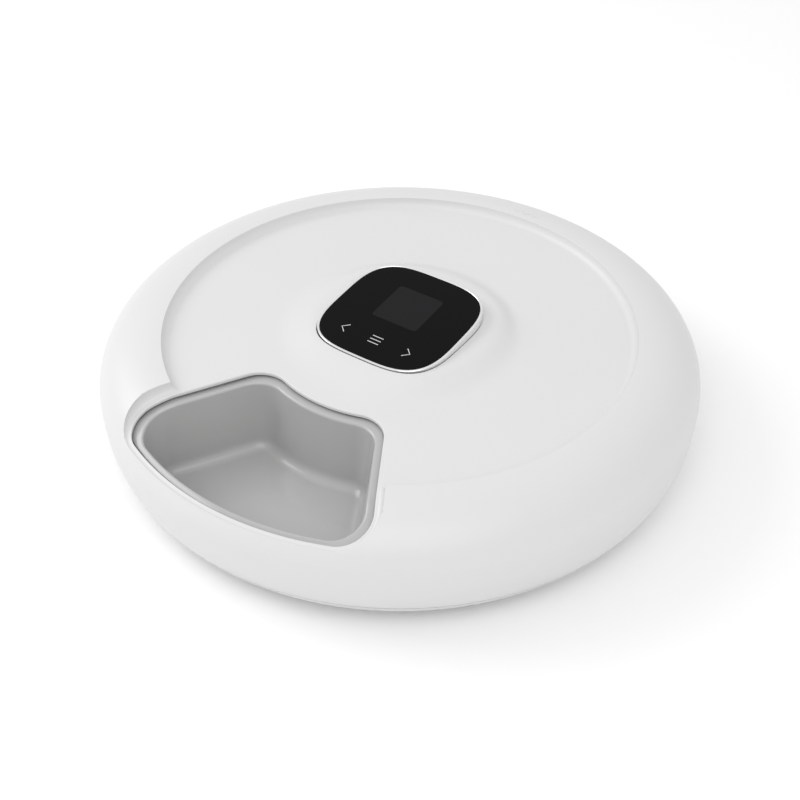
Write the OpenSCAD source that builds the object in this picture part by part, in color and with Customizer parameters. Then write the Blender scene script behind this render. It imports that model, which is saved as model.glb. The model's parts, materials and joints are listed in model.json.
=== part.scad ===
// Round automatic pet feeder with a six-well turning tray under a lift-off lid.
// +Z is up, the floor is z = 0, the axis of the tray is x = y = 0, and the front,
// with the serving opening and the lower edge of the control panel, faces -Y.
// Lengths are in millimetres, angles in degrees.

/* [Body] */
// Widest diameter of the body
body_d = 320; // [290:1:390]
// Height of the raised crest round the top
crest_h = 66; // [55:0.5:80]
// Height of the widest point of the side
belly_h = 42; // [35:0.5:46]
// How far the shoulder runs in from the widest point to the crest
shoulder_w = 34.5; // [28:0.5:42]
// How far the side curves in from the widest point to the underside
sole_in = 26; // [21:0.5:31]
// Roundness of the side below its widest point
side_power = 2.54; // [2:0.02:3]
// Wall of the lid
lid_wall = 2; // [1.6:0.1:2.5]
// Wall of the base, its floor and its drum
base_wall = 2.4; // [2:0.1:3]
// Height of the line where lid and base meet
seam_h = 16; // [14:0.5:18]
// Depth of the flat recess inside the crest
recess_d = 5; // [3:0.1:6]
// Width of the step down from the crest to the recess
step_w = 3; // [2:0.1:5]
// Height of the rubber feet
foot_h = 3; // [2.5:0.1:4]
// Radius of a rubber foot
foot_r = 9; // [7:0.5:12]

/* [Serving opening] */
// Distance from the widest point of the side in to the outer arc of the opening
opening_in = 6.4; // [6:0.1:8]
// Distance from the drum out to the inner arc of the opening
opening_out = 6.7; // [6:0.1:9]
// Radius of the corners of the opening
opening_corner = 16; // [13:0.5:20]
// How far the lid edge falls from the crest out to the outer arc
edge_fall = 8.5; // [7:0.1:10]
// Width of the ledge round the opening
ledge_w = 4; // [3:0.1:5]

/* [Tray] */
// Number of wells
wells = 6; // [4:1:8]
// Width of the rim of a well that shows inside the opening
lip_w = 4.5; // [3.5:0.1:5.5]
// Wall of the tray
tray_wall = 2; // [1.6:0.1:2.4]
// Gap between two neighbouring bowls
bowl_gap = 0.6; // [0.2:0.1:1.5]
// Radius of the corners of a well, measured at the outline of the opening
well_corner = 19; // [18:0.5:22]
// Lean of a well wall, from its top to the floor
well_lean = 6; // [4:0.2:8]
// Bevel between wall and floor of a well
well_bevel = 6; // [4:0.2:8]

/* [Control panel] */
// Side of the square control panel
panel_w = 74; // [64:1:82]
// Height of the middle of the panel above the crest
panel_up = 3.5; // [2.5:0.1:6]
// Tilt of the panel towards the front
panel_tilt = 4.7; // [0:0.1:7]
// Squareness of the panel outline, where 2 is a circle
panel_power = 3.5; // [2.6:0.1:5]
// Thickness of the black panel
panel_t = 2.2; // [1.6:0.1:3]
// Width of the frame round the panel
frame_w = 1.3; // [1:0.1:2]
// Depth of the frame
frame_depth = 6; // [5:0.2:7]
// Side of the display window
display_w = 26; // [20:0.5:30]

/* [Drive] */
// Outer radius of the fixed drum in the middle
drum_r = 66; // [60:0.5:72]
// Gear module
gear_m = 1.5; // [1.2:0.1:1.6]
// Teeth of the ring gear
ring_teeth = 96; // [92:4:104]
// Teeth of the motor pinion
pinion_teeth = 24; // [20:4:28]
// Height of the turntable's underside
table_h = 15.5; // [15:0.1:18]
// Thickness of the turntable
table_t = 2.5; // [2:0.1:3.5]
// Outer radius of the turntable
table_r = 114; // [110:1:124]
// Radius of a support roller
roller_r = 4.5; // [4:0.1:4.6]
// Width of a support roller
roller_w = 6; // [5:0.5:7]
// Distance of the rollers from the middle
roller_at = 100; // [96:0.5:104]
// Radius of a roller axle
axle_r = 1.2; // [1:0.05:1.5]
// Radius of the motor's case
motor_r = 14; // [12:0.5:15]
// Radius of the motor shaft
shaft_r = 2.5; // [2:0.1:3]
// Distance of the shaft from the middle of the motor
shaft_off = 8; // [7:0.5:9]

/* [Battery bay] */
// Radius of a cell
cell_r = 7.1; // [7:0.05:7.25]
// Length of a cell
cell_l = 50; // [49:0.1:50.5]
// Number of cells
cells = 4; // [2:2:4]
// Thickness of the battery door
door_t = 2; // [1.6:0.1:2.4]

/* [Fits] */
// Gap between parts that move past each other
slide_gap = 0.4; // [0.3:0.05:0.6]
// Radial clearance of a running fit
run_fit = 0.05; // [0.03:0.01:0.1]
// Gap between a fixed part and the hole it sits in
seat_gap = 0.2; // [0.1:0.05:0.3]

/* [Hidden] */
$fn = 96;
eps = 0.01;
big = 2 * body_d;
pitch = 360 / wells;

// Body heights and radii
body_r = body_d / 2;
crest_r = body_r - shoulder_w;
sole_r = body_r - sole_in;
floor_h = foot_h + base_wall;
recess_h = crest_h - recess_d;
shell_in_h = recess_h - lid_wall;
tongue_h = 4;
tongue_t = 1.6;
profile_steps = 14;
shell_turn = asin((shell_in_h - belly_h) / (crest_h - lid_wall - belly_h));

// Outer radius of the body at a height
function upper_r(z, inset) =
    crest_r + (shoulder_w - inset) * sqrt(1 - pow((z - belly_h) / (crest_h - inset - belly_h), 2));
function lower_r(z) =
    sole_r + sole_in * pow(1 - pow((belly_h - z) / (belly_h - foot_h), side_power), 1 / side_power);
function inner_r(z) = z > belly_h ? upper_r(z, lid_wall) : lower_r(z) - lid_wall;
function spread(a, b, n) = [for (i = [0:n]) a + (b - a) * i / n];

// Serving opening
open_in_r = drum_r + opening_out;
open_out_r = body_r - opening_in;
open_side = 1;
function edge_drop(r) =
    r <= crest_r ? 0 : edge_fall * pow((r - crest_r) / (open_out_r - crest_r), 1.5);
function ledge_h(r) = recess_h - edge_drop(r);
ledge_steps = 10;

// Tray
land_gap = 1;
function land_h(r) = ledge_h(r) - lid_wall - land_gap;
tray_seat_h = table_h + table_t;
well_floor_h = tray_seat_h + tray_wall;
tray_bore_r = drum_r + 1.5;
land_in_h = land_h(0);
land_out_h = land_h(open_out_r);
tray_out_r = inner_r(seam_h) - 1.4;
skirt_h = belly_h;
corner_flats = 2;

// Control panel, measured square to its tilted face
panel_h = crest_h + panel_up;
panel_half = panel_w / 2;
frame_half = panel_half + frame_w;
frame_rise = 0.2;
hole_half = frame_half + 0.6;
mound_drop = 0.9;
mound_half = hole_half + 1.2;
mound_foot_r = drum_r - 4;
squircle_points = 96;
board_half = panel_half - 4;
board_t = 1.6;
display_t = 3;
display_body = display_w + 8;
display_y = 7.4;
key_y = -22.5;
key_pitch = 20;
key_spring_r = 4;
board_seat = panel_t + display_t + board_t;
board_window = board_half - 9;
buzzer_r = 6;
buzzer_h = 4;

// Drum and hub cover
drum_in_r = drum_r - base_wall;
locating_r = drum_in_r - seat_gap;
hub_foot_r = mound_foot_r - 7;
cap_top_h = land_h(drum_r);
cap_t = 2;
drum_top_h = cap_top_h - cap_t;
post_r = 3.6;
post_at = 57;
post_turn = 45;
screw_r = 1.5;
screw_head_r = 2.8;
screw_head_h = 1.8;
pilot_gap = 0.02;
clear_gap = 0.2;
post_low = floor_h + 2.5;
base_screw_seat = foot_h + 0.3 + screw_head_h;
base_screw_tip = post_low + 12;
foot_at = sole_r - foot_r - 7;
foot_seat = 0.6;
sump_r = drum_in_r - 1.2;
sump_ledge = 2;
sump_split = floor_h - 1.2;

// Drive
ring_pitch_r = gear_m * ring_teeth / 2;
pinion_pitch_r = gear_m * pinion_teeth / 2;
shaft_at = ring_pitch_r - pinion_pitch_r;
motor_at = shaft_at - shaft_off;
ring_rim = 4;
ring_root_r = ring_pitch_r + 1.25 * gear_m;
ring_out_r = ring_root_r + ring_rim;
ring_low = floor_h + 3.2;
pinion_low = ring_low + 0.8;
pinion_t = 4.6;
pinion_hub_r = 4.5;
bracket_h = pinion_low + pinion_t + 1.2;
bracket_t = 1.6;
motor_h = 19;
motor_low = bracket_h + bracket_t;
ear_at = 17.5;
ear_t = 1;
shaft_hold = 8;
gear_play = 0.25;
bracket_post_x = 27;
bracket_post_y = -(motor_at - 8);
bracket_post_r = 4;
window_low = floor_h + 1;
window_high = pinion_low + pinion_t + 0.6;
window_half = asin((gear_m * (pinion_teeth / 2 + 1) + 1.5) / drum_r);
bush_t = 1.8;
bush_low = table_h - 0.2;
bush_high = tray_seat_h - 0.2;
table_bore_r = drum_r + bush_t + 0.3;
flange_w = 6;
flange_t = 2;
ring_screw_at = ring_out_r + flange_w / 2;
ring_screw_turns = [for (i = [0:5]) 60 * i];
peg_r = 7;
peg_h = 6;
peg_at = 106;
magnet_r = 3;
magnet_t = 2;
magnet_at = ring_out_r + flange_w + 4;
roller_gap = 0.1;
axle_h = table_h - roller_gap - roller_r;
roller_turns = [30, 150, 270];
axle_half = roller_w / 2 + 3;
cheek_t = 2.2;
cheek_gap = 0.4;
cheek_w = 7;

// Battery bay, behind the middle
cell_pitch = 2 * cell_r + 0.8;
bay_y = 17;
bay_half_y = cells * cell_pitch / 2 + 0.2;
bay_half_x = cell_l / 2 + 3.6;
bay_wall = 1.6;
cell_h = foot_h + door_t + 0.6 + cell_r;
bay_top = cell_h + cell_r + 0.8;
door_half_x = bay_half_x - 1.2;
door_half_y = bay_half_y - 0.6;
door_gap = 0.3;
door_axis_y = bay_y - door_half_y + door_t / 2;
door_axis_h = foot_h + door_t / 2;

// Boards and leads
main_board = [52, 40, 1.6];
main_board_y = 16;
main_board_low = bay_top + bay_wall + 4;
stud_r = 2.5;
socket_w = 9;
socket_t = 3.4;
socket_l = 8;
socket_low = floor_h + 3;
socket_face_y = lower_r(socket_low) - 2.6;
socket_board = [18, 22, 1.6];
socket_board_y = socket_face_y - 3 - socket_board.y;
board_inset = 4;
ribbon_w = 16;
ribbon_t = 0.8;
ribbon_y = main_board_y + 6;
ribbon_top = panel_h + ribbon_y * tan(panel_tilt) - board_seat / cos(panel_tilt) - 0.05;
motor_lead_y = main_board_y - 12;
nub_h = 1.2;
contact_t = 0.4;
window_w = 14;
window_t = 7.4;
lead_r = 1.1;
lead_h = floor_h + lead_r + 0.2;
lead_riser_y = (drum_in_r + bay_y + bay_half_y + bay_wall) / 2;
lead_channel = 2 * lead_r + 1;
lead_cover_w = lead_channel + 4;
lead_cover_t = 1.2;
lead_cover_l = 30;
sensor_turn = 215;

// ---- shared shapes ----

// Outline of the panel: a square with evenly swelling sides
function squircle(half) = [
    for (i = [0:squircle_points - 1])
        let (a = 360 * i / squircle_points, c = cos(a), s = sin(a))
            half * [
                sign(c) * pow(abs(c), 2 / panel_power),
                sign(s) * pow(abs(s), 2 / panel_power)
            ]
];

module squircle_plate(half, z0, z1) {
    translate([0, 0, z0])
        linear_extrude(z1 - z0)
            polygon(squircle(half));
}

// Places its children on the tilted face of the control panel
module on_panel() {
    translate([0, 0, panel_h])
        rotate([panel_tilt, 0, 0])
            children();
}

// Sector of a ring that opens towards -Y, its sides set in from the rays, corners rounded
module sector(r_in, r_out, side, corner) {
    spread_half = pitch / 2;
    reach = 2 * r_out;
    offset(r = corner, $fn = 48)
        offset(delta = -corner)
            difference() {
                intersection() {
                    circle(r_out, $fn = 180);
                    translate([0, -side / sin(spread_half)])
                        polygon([
                            [0, 0],
                            [-reach * sin(spread_half), -reach * cos(spread_half)],
                            [reach * sin(spread_half), -reach * cos(spread_half)]
                        ]);
                }
                circle(r_in, $fn = 180);
            }
}

// The outline of the serving opening, grown or shrunk evenly
module opening_outline(grow) {
    sector(open_in_r - grow, open_out_r + grow, open_side - grow, opening_corner + grow);
}

module ring(r_in, r_out, z0, z1) {
    translate([0, 0, z0])
        difference() {
            cylinder(h = z1 - z0, r = r_out);
            translate([0, 0, -1])
                cylinder(h = z1 - z0 + 2, r = r_in);
        }
}

module rod(r, z0, z1) {
    translate([0, 0, z0])
        cylinder(h = z1 - z0, r = r, $fn = 48);
}

module at_turns(turns, radius) {
    for (a = turns)
        rotate([0, 0, a])
            translate([radius, 0, 0])
                children();
}

post_turns = [for (i = [0:3]) post_turn + 90 * i];
well_turns = [for (i = [0:wells - 1]) i * pitch];
peg_turns = [for (i = [0:wells - 1]) -90 + (i + 0.5) * pitch];

// ---- base ----

module base_body() {
    rim_r = inner_r(seam_h) - slide_gap;
    rotate_extrude($fn = 180)
        polygon(concat(
            [[sump_r + sump_ledge, foot_h]],
            [for (z = spread(foot_h, seam_h, profile_steps)) [lower_r(z), z]],
            [
                [rim_r, seam_h],
                [rim_r, seam_h + tongue_h],
                [rim_r - tongue_t, seam_h + tongue_h],
                [rim_r - tongue_t, seam_h],
                [lower_r(floor_h + 3) - base_wall, floor_h + 3],
                [lower_r(floor_h + 1) - base_wall - 1, floor_h],
                [drum_r, floor_h],
                [drum_r, drum_top_h],
                [drum_in_r, drum_top_h],
                [drum_in_r, floor_h],
                [sump_r, floor_h],
                [sump_r, sump_split],
                [sump_r + sump_ledge, sump_split]
            ]
        ));
}

// Pair of cheeks that hold a roller's axle, with the axle along X
module roller_cheeks() {
    for (side = [-1, 1])
        translate([side * (roller_w / 2 + cheek_gap + cheek_t / 2), 0, 0])
            difference() {
                translate([-cheek_t / 2, -cheek_w / 2, floor_h - eps])
                    cube([cheek_t, cheek_w, axle_h + 2 * axle_r - floor_h]);
                translate([-cheek_t, 0, axle_h])
                    rotate([0, 90, 0])
                        cylinder(h = 2 * cheek_t, r = axle_r + pilot_gap, $fn = 32);
            }
}

module base_shell() {
    color("white") {
        difference() {
            base_body();
            // Window for the pinion, at the front of the drum
            rotate([0, 0, -90 - window_half])
                rotate_extrude(angle = 2 * window_half)
                    translate([drum_in_r - 1, window_low])
                        square([base_wall + 2, window_high - window_low]);
            // Notches where the leads enter the drum
            for (a = [90, sensor_turn])
                rotate([0, 0, a])
                    translate([drum_in_r - 2, -lead_r - 0.6, floor_h + eps])
                        cube([base_wall + 4, 2 * lead_r + 1.2, 2 * lead_r + 1]);
            // Window for the power plug, at the back
            translate([-window_w / 2, socket_face_y, socket_low + socket_t / 2 - window_t / 2])
                cube([window_w, body_r - socket_face_y, window_t]);
            // Seats of the feet
            at_turns(post_turns, foot_at)
                rod(foot_r + seat_gap, foot_h - 1, foot_h + foot_seat);
        }
        at_turns(roller_turns, roller_at)
            roller_cheeks();
        socket_studs();
    }
}

// Studs under the board of the power socket
module socket_studs() {
    for (x = [-1, 1], y = [3, socket_board.y - 3])
        translate([x * (socket_board.x / 2 - 2), socket_board_y + y, 0])
            rod(1.5, floor_h - eps, socket_low - socket_board.z);
}

module at_board_corners() {
    for (x = [-1, 1], y = [-1, 1])
        translate([
            x * (main_board.x / 2 - board_inset),
            main_board_y + y * (main_board.y / 2 - board_inset),
            0
        ])
            children();
}

module at_bracket_posts() {
    for (x = [-1, 1])
        translate([x * bracket_post_x, bracket_post_y, 0])
            children();
}

module bay_box(grow, z0, z1) {
    translate([-bay_half_x - grow, bay_y - bay_half_y - grow, z0])
        cube([2 * (bay_half_x + grow), 2 * (bay_half_y + grow), z1 - z0]);
}

module bottom_cover() {
    color("gainsboro")
        difference() {
            union() {
                rod(sump_r + sump_ledge - seat_gap, foot_h, sump_split - 0.05);
                rod(sump_r - seat_gap, foot_h, floor_h);
                bay_box(bay_wall, floor_h - eps, bay_top + bay_wall);
                at_bracket_posts()
                    rod(bracket_post_r, floor_h - eps, bracket_h);
                at_board_corners()
                    rod(stud_r, bay_top + bay_wall - eps, main_board_low);
                at_turns(post_turns, post_at)
                    rod(post_r, floor_h - eps, post_low);
            }
            bay_box(0, foot_h + door_t + door_gap, bay_top);
            translate([-door_half_x - door_gap, bay_y - door_half_y - door_gap, foot_h - 1])
                cube([2 * (door_half_x + door_gap), 2 * (door_half_y + door_gap), door_t + 2]);
            at_bracket_posts()
                rod(screw_r + pilot_gap, floor_h + 1, bracket_h + 1);
            at_board_corners()
                rod(screw_r + pilot_gap, bay_top + bay_wall + 0.4, main_board_low + 1);
            at_turns(post_turns, post_at) {
                rod(screw_r + clear_gap, foot_h - 1, post_low + 1);
                rod(screw_head_r + clear_gap, foot_h - 1, base_screw_seat);
            }
        }
}

// Tapered form from the tilted face down to a level circle
module mound(half, drop, foot_radius, foot_z) {
    hull() {
        on_panel()
            squircle_plate(half, -drop - 0.5, -drop);
        translate([0, 0, foot_z])
            cylinder(h = 2 * eps, r = foot_radius, $fn = 64);
    }
}

module hub_cover() {
    color("white")
        difference() {
            union() {
                rod_at_top(drum_r, drum_top_h, cap_top_h);
                ring(locating_r - 2, locating_r, drum_top_h - 4, drum_top_h + eps);
                mound(frame_half, frame_depth, hub_foot_r, cap_top_h - eps);
                at_turns(post_turns, post_at)
                    rod(post_r, post_low, drum_top_h + eps);
            }
            mound(frame_half - 2.5, board_seat + 2.5, hub_foot_r - 3, drum_top_h - 0.1);
            on_panel() {
                squircle_plate(board_window, -board_seat - 10, 1);
                squircle_plate(board_half + 0.4, -board_seat, 1);
                at_panel_corners()
                    translate([0, 0, -board_seat - 4])
                        cylinder(h = 5, r = screw_r + pilot_gap, $fn = 32);
            }
            at_turns(post_turns, post_at)
                rod(screw_r + pilot_gap, post_low - 1, base_screw_tip + 1);
        }
}

module rod_at_top(r, z0, z1) {
    translate([0, 0, z0])
        cylinder(h = z1 - z0, r = r, $fn = 180);
}

module at_panel_corners() {
    for (x = [-1, 1]) {
        translate([x * (board_half - 10), board_half - 10, 0])
            children();
        translate([x * (board_half - 5), key_y + 14, 0])
            children();
    }
}

module panel_frame() {
    color("silver")
        on_panel()
            difference() {
                squircle_plate(frame_half, -frame_depth, frame_rise);
                squircle_plate(panel_half + 0.05, -panel_t, 1);
                squircle_plate(board_half + 1, -frame_depth - 1, 0);
            }
}

module control_panel() {
    color("black")
        on_panel()
            squircle_plate(panel_half, -panel_t, 0);
}

module display_module() {
    color("dimgray")
        on_panel()
            translate([-display_body / 2, display_y - display_body / 2, -panel_t - display_t])
                cube([display_body, display_body, display_t]);
}

module control_board() {
    color("darkgreen")
        on_panel()
            difference() {
                squircle_plate(board_half, -board_seat, board_t - board_seat);
                at_panel_corners()
                    translate([0, 0, -board_seat - 1])
                        cylinder(h = board_t + 2, r = screw_r + clear_gap, $fn = 32);
            }
}

module touch_springs() {
    color("gold")
        on_panel()
            for (k = [-1:1])
                translate([k * key_pitch, key_y, 0])
                    ring(key_spring_r - 0.8, key_spring_r, board_t - board_seat, -panel_t);
}

module buzzer() {
    color("black")
        on_panel()
            translate([-12, 12, -board_seat - buzzer_h])
                cylinder(h = buzzer_h, r = buzzer_r, $fn = 48);
}

// Screw whose head rests on head_z and whose shank points down to tip_z
module screw_down(head_z, tip_z) {
    translate([0, 0, head_z])
        cylinder(h = screw_head_h, r = screw_head_r, $fn = 32);
    rod(screw_r, tip_z, head_z + eps);
}

// Screw whose head hangs below head_z and whose shank points up to tip_z
module screw_up(head_z, tip_z) {
    translate([0, 0, head_z - screw_head_h])
        cylinder(h = screw_head_h, r = screw_head_r, $fn = 32);
    rod(screw_r, head_z - eps, tip_z);
}

module board_screws() {
    color("silver")
        on_panel()
            at_panel_corners()
                screw_down(board_t - board_seat, -board_seat - 2);
}

module main_board() {
    color("darkgreen")
        difference() {
            translate([-main_board.x / 2, main_board_y - main_board.y / 2, main_board_low])
                cube(main_board);
            at_board_corners()
                rod(screw_r + clear_gap, main_board_low - 1, main_board_low + main_board.z + 1);
        }
}

module main_board_screws() {
    color("silver")
        at_board_corners()
            screw_down(main_board_low + main_board.z, main_board_low - 3);
}

// Flat ribbon from the main board up to the control board
module display_ribbon() {
    color("ivory")
        translate([-ribbon_w / 2, ribbon_y, main_board_low + main_board.z])
            cube([ribbon_w, ribbon_t, ribbon_top - main_board_low - main_board.z]);
}

module power_socket() {
    color("dimgray")
        translate([0, socket_face_y - socket_l, socket_low]) {
            difference() {
                translate([-socket_w / 2, 0, 0])
                    cube([socket_w, socket_l, socket_t]);
                translate([-socket_w / 2 + 0.4, 1, 0.4])
                    cube([socket_w - 0.8, socket_l, socket_t - 0.8]);
            }
            translate([-socket_w / 2 + 1.3, 1 - eps, socket_t / 2 - 0.35])
                cube([socket_w - 2.6, socket_l - 2.5, 0.7]);
        }
}

module power_board() {
    color("darkgreen")
        translate([-socket_board.x / 2, socket_board_y, socket_low - socket_board.z])
            cube(socket_board);
}

// Lead along the base floor from the socket's board into the drum, then up
module power_lead() {
    color("black") {
        translate([0, socket_board_y, lead_h])
            rotate([90, 0, 0])
                cylinder(h = socket_board_y - lead_riser_y, r = lead_r, $fn = 32);
        translate([0, lead_riser_y, lead_h])
            sphere(r = lead_r, $fn = 32);
        translate([0, lead_riser_y, lead_h])
            cylinder(h = main_board_low + main_board.z - lead_h, r = lead_r, $fn = 32);
    }
}

module lead_cover() {
    color("gainsboro")
        translate([-lead_cover_w / 2, ring_out_r + flange_w + 2, floor_h])
            difference() {
                cube([lead_cover_w, lead_cover_l, lead_channel + lead_cover_t]);
                translate([-lead_channel / 2 + lead_cover_w / 2, -1, -1])
                    cube([lead_channel, lead_cover_l + 2, lead_channel + 1]);
            }
}

module drive_motor() {
    color("lightsteelblue")
        difference() {
            translate([0, -motor_at, 0]) {
                rod(motor_r, motor_low, motor_low + motor_h);
                // Mounting ears
                translate([-ear_at - 3.5, -3.5, motor_low])
                    cube([2 * ear_at + 7, 7, ear_t]);
            }
            translate([0, -shaft_at, 0])
                rod(shaft_r + run_fit, motor_low - 1, motor_low + shaft_hold);
            for (x = [-1, 1])
                translate([x * ear_at, -motor_at, 0])
                    rod(screw_r + clear_gap, motor_low - 1, motor_low + ear_t + 1);
        }
}

module motor_bracket() {
    color("silver")
        difference() {
            intersection() {
                rod_at_top(drum_in_r - 2.5, bracket_h, motor_low);
                translate([-bracket_post_x - 5, -drum_r, 0])
                    cube([2 * bracket_post_x + 10, drum_r + bracket_post_y + 6, big]);
            }
            translate([0, -shaft_at, 0])
                rod(shaft_r + 2, bracket_h - 1, motor_low + 1);
            for (x = [-1, 1])
                translate([x * ear_at, -motor_at, 0])
                    rod(screw_r + pilot_gap, bracket_h - 1, motor_low + 1);
            at_bracket_posts()
                rod(screw_r + clear_gap, bracket_h - 1, motor_low + 1);
        }
}

module motor_screws() {
    color("silver")
        for (x = [-1, 1])
            translate([x * ear_at, -motor_at, 0])
                screw_down(motor_low + ear_t, bracket_h + 0.2);
}

module bracket_screws() {
    color("silver")
        at_bracket_posts()
            screw_down(motor_low, floor_h + 3);
}

// Lead that rises from the motor's top and crosses to the main board
module motor_lead() {
    top = motor_low + motor_h + 3;
    color("red") {
        translate([0, -motor_at, motor_low + motor_h])
            cylinder(h = 3, r = lead_r, $fn = 32);
        translate([0, -motor_at, top])
            sphere(r = lead_r, $fn = 32);
        translate([0, -motor_at, top])
            rotate([-90, 0, 0])
                cylinder(h = motor_at + motor_lead_y, r = lead_r, $fn = 32);
        translate([0, motor_lead_y, top])
            sphere(r = lead_r, $fn = 32);
        translate([0, motor_lead_y, main_board_low + main_board.z])
            cylinder(h = top - main_board_low - main_board.z, r = lead_r, $fn = 32);
    }
}

// Calls its children once for each cell, turned end for end from one to the next
module at_cells() {
    for (i = [0:cells - 1])
        translate([0, bay_y + (i - (cells - 1) / 2) * cell_pitch, cell_h])
            rotate([0, 0, 180 * (i % 2)])
                rotate([0, 90, 0])
                    children();
}

module battery_cells() {
    color("darkorange")
        at_cells() {
            translate([0, 0, -cell_l / 2])
                cylinder(h = cell_l - nub_h, r = cell_r, $fn = 64);
            translate([0, 0, cell_l / 2 - nub_h - eps])
                cylinder(h = nub_h + eps, r = 2.6, $fn = 32);
        }
}

module battery_contacts() {
    color("silver")
        at_cells() {
            for (end = [-1, 1])
                translate([-4, -4, end * (bay_half_x - contact_t / 2) - contact_t / 2])
                    cube([8, 8, contact_t]);
            translate([0, 0, -bay_half_x + contact_t - eps])
                cylinder(h = bay_half_x - contact_t - cell_l / 2 + eps, r1 = 3.6, r2 = 2, $fn = 32);
            translate([0, 0, cell_l / 2])
                cylinder(h = bay_half_x - contact_t - cell_l / 2 + eps, r = 1.8, $fn = 32);
        }
}

// Lead from the roof of the battery bay to the main board
module battery_lead() {
    color("red")
        translate([main_board.x / 2 - 12, main_board_y, bay_top + bay_wall])
            cylinder(h = main_board_low - bay_top - bay_wall, r = lead_r, $fn = 32);
}

// Small board with a magnet sensor, under the ring of magnets
module position_sensor() {
    color("darkgreen")
        rotate([0, 0, sensor_turn]) {
            translate([magnet_at - 6, -8, floor_h])
                cube([12, 16, 1.6]);
            translate([magnet_at - 2, -2, floor_h + 1.6 - eps])
                cube([4, 4, 1.6]);
        }
}

module sensor_lead() {
    color("black")
        rotate([0, 0, sensor_turn])
            translate([drum_in_r - 4, 0, lead_h])
                rotate([0, 90, 0])
                    cylinder(h = magnet_at - 6 - drum_in_r + 4, r = lead_r, $fn = 32);
}

// Low-friction ring round the drum that centres the turntable
module bearing_ring() {
    color("ivory")
        ring(drum_r + pilot_gap, drum_r + bush_t, bush_low, bush_high);
}

module roller_axles() {
    color("silver")
        at_turns(roller_turns, roller_at)
            translate([-axle_half, 0, axle_h])
                rotate([0, 90, 0])
                    cylinder(h = 2 * axle_half, r = axle_r, $fn = 32);
}

module rubber_feet() {
    color("dimgray")
        at_turns(post_turns, foot_at)
            rod(foot_r, 0, foot_h + foot_seat);
}

module base_screws() {
    color("silver")
        at_turns(post_turns, post_at)
            screw_up(base_screw_seat, base_screw_tip);
}

// ---- turning tray ----

// The bevel of each wall starts a little higher than that of the wall beside it, side wall first
function knee_h(k) = well_floor_h + well_bevel + 0.4 * k;
well_top_h = land_in_h + 5;

// How far a wall has come in at the height bottom, along its bevel
function well_foot(knee, low, bottom) = well_lean + well_bevel * (knee - bottom) / (knee - low);

// Everything on the +X side of a leaning wall that stands at x = start at the land's height
module wall_cut(start, knee, low, bottom) {
    slope = well_lean / (land_in_h - knee);
    rotate([90, 0, 0])
        linear_extrude(2 * big, center = true)
            polygon([
                [start - slope * (well_top_h - land_in_h), well_top_h],
                [start + well_lean, knee],
                [start + well_foot(knee, low, bottom), bottom],
                [big, bottom],
                [big, well_top_h]
            ]);
}

// Walls of the right half of a front well, each as [point, direction, distance, place in order]
well_ray = -90 + pitch / 2;
function corner_mid(rho) =
    let (a = well_ray - asin((open_side + well_corner) / rho))
        [rho * cos(a), rho * sin(a)];
function corner_walls(rho, out) = [
    for (k = [1:corner_flats])
        [corner_mid(rho), well_ray + 90 + (out - well_ray - 90) * k / (corner_flats + 1), well_corner, k]
];
outer_mid_r = open_out_r - well_corner;
inner_mid_r = open_in_r + well_corner;
right_walls = concat(
    [[[0, 0], well_ray + 90, -open_side, 0]],
    corner_walls(outer_mid_r, well_ray - asin((open_side + well_corner) / outer_mid_r)),
    corner_walls(inner_mid_r, well_ray + 180 - asin((open_side + well_corner) / inner_mid_r))
);

// Space inside a well at the front, or with grow, the outside of its walls, down to bottom
module well_space(grow, bottom) {
    low = well_floor_h - grow;
    knee = knee_h(corner_flats + 1);
    foot = well_foot(knee, low, bottom);
    r0 = open_in_r + lip_w - grow;
    r1 = open_out_r - lip_w + grow;
    lean_in = well_lean / (land_in_h - knee);
    lean_out = well_lean / (land_out_h - knee);
    intersection() {
        rotate_extrude($fn = 180)
            polygon([
                [r0 - lean_in * (well_top_h - land_in_h), well_top_h],
                [r0 + well_lean, knee],
                [r0 + foot, bottom],
                [r1 - foot, bottom],
                [r1 - well_lean, knee],
                [r1 + lean_out * (well_top_h - land_out_h), well_top_h]
            ]);
        intersection_for(wall = right_walls)
            translate([wall[0].x, wall[0].y, 0])
                rotate([0, 0, wall[1] + 180])
                    wall_cut(lip_w - grow - wall[2], knee_h(wall[3]), low, bottom);
        intersection_for(wall = right_walls)
            mirror([1, 0, 0])
                translate([wall[0].x, wall[0].y, 0])
                    rotate([0, 0, wall[1] + 180])
                        wall_cut(lip_w - grow - wall[2], knee_h(wall[3]), low, bottom);
    }
}

land_points = [for (r = spread(crest_r, tray_out_r, ledge_steps)) [r, land_h(r)]];

module tray_block() {
    rotate_extrude($fn = 180)
        polygon(concat(
            [[tray_bore_r, tray_seat_h], [tray_bore_r, land_in_h]],
            land_points,
            [[tray_out_r, tray_seat_h]]
        ));
}

// Space under the land, inside the inner wall and the skirt, and all round below the skirt
module tray_underside() {
    rotate_extrude($fn = 180)
        polygon(concat(
            [
                [tray_bore_r + tray_wall, tray_seat_h - 2],
                [tray_bore_r + tray_wall, land_in_h - tray_wall]
            ],
            [
                for (i = [0:ledge_steps])
                    [land_points[i].x - tray_wall * i / ledge_steps, land_points[i].y - tray_wall]
            ],
            [
                [tray_out_r - tray_wall, skirt_h],
                [body_r, skirt_h],
                [body_r, tray_seat_h - 2]
            ]
        ));
}

// Share of one bowl at the front, half a gap inside its part of the turn
module bowl_share() {
    tip = bowl_gap / 2 / sin(pitch / 2);
    translate([0, 0, tray_seat_h - 3])
        linear_extrude(land_in_h)
            polygon([
                [0, -tip],
                [-big * sin(pitch / 2), -tip - big * cos(pitch / 2)],
                [big * sin(pitch / 2), -tip - big * cos(pitch / 2)]
            ]);
}

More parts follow.
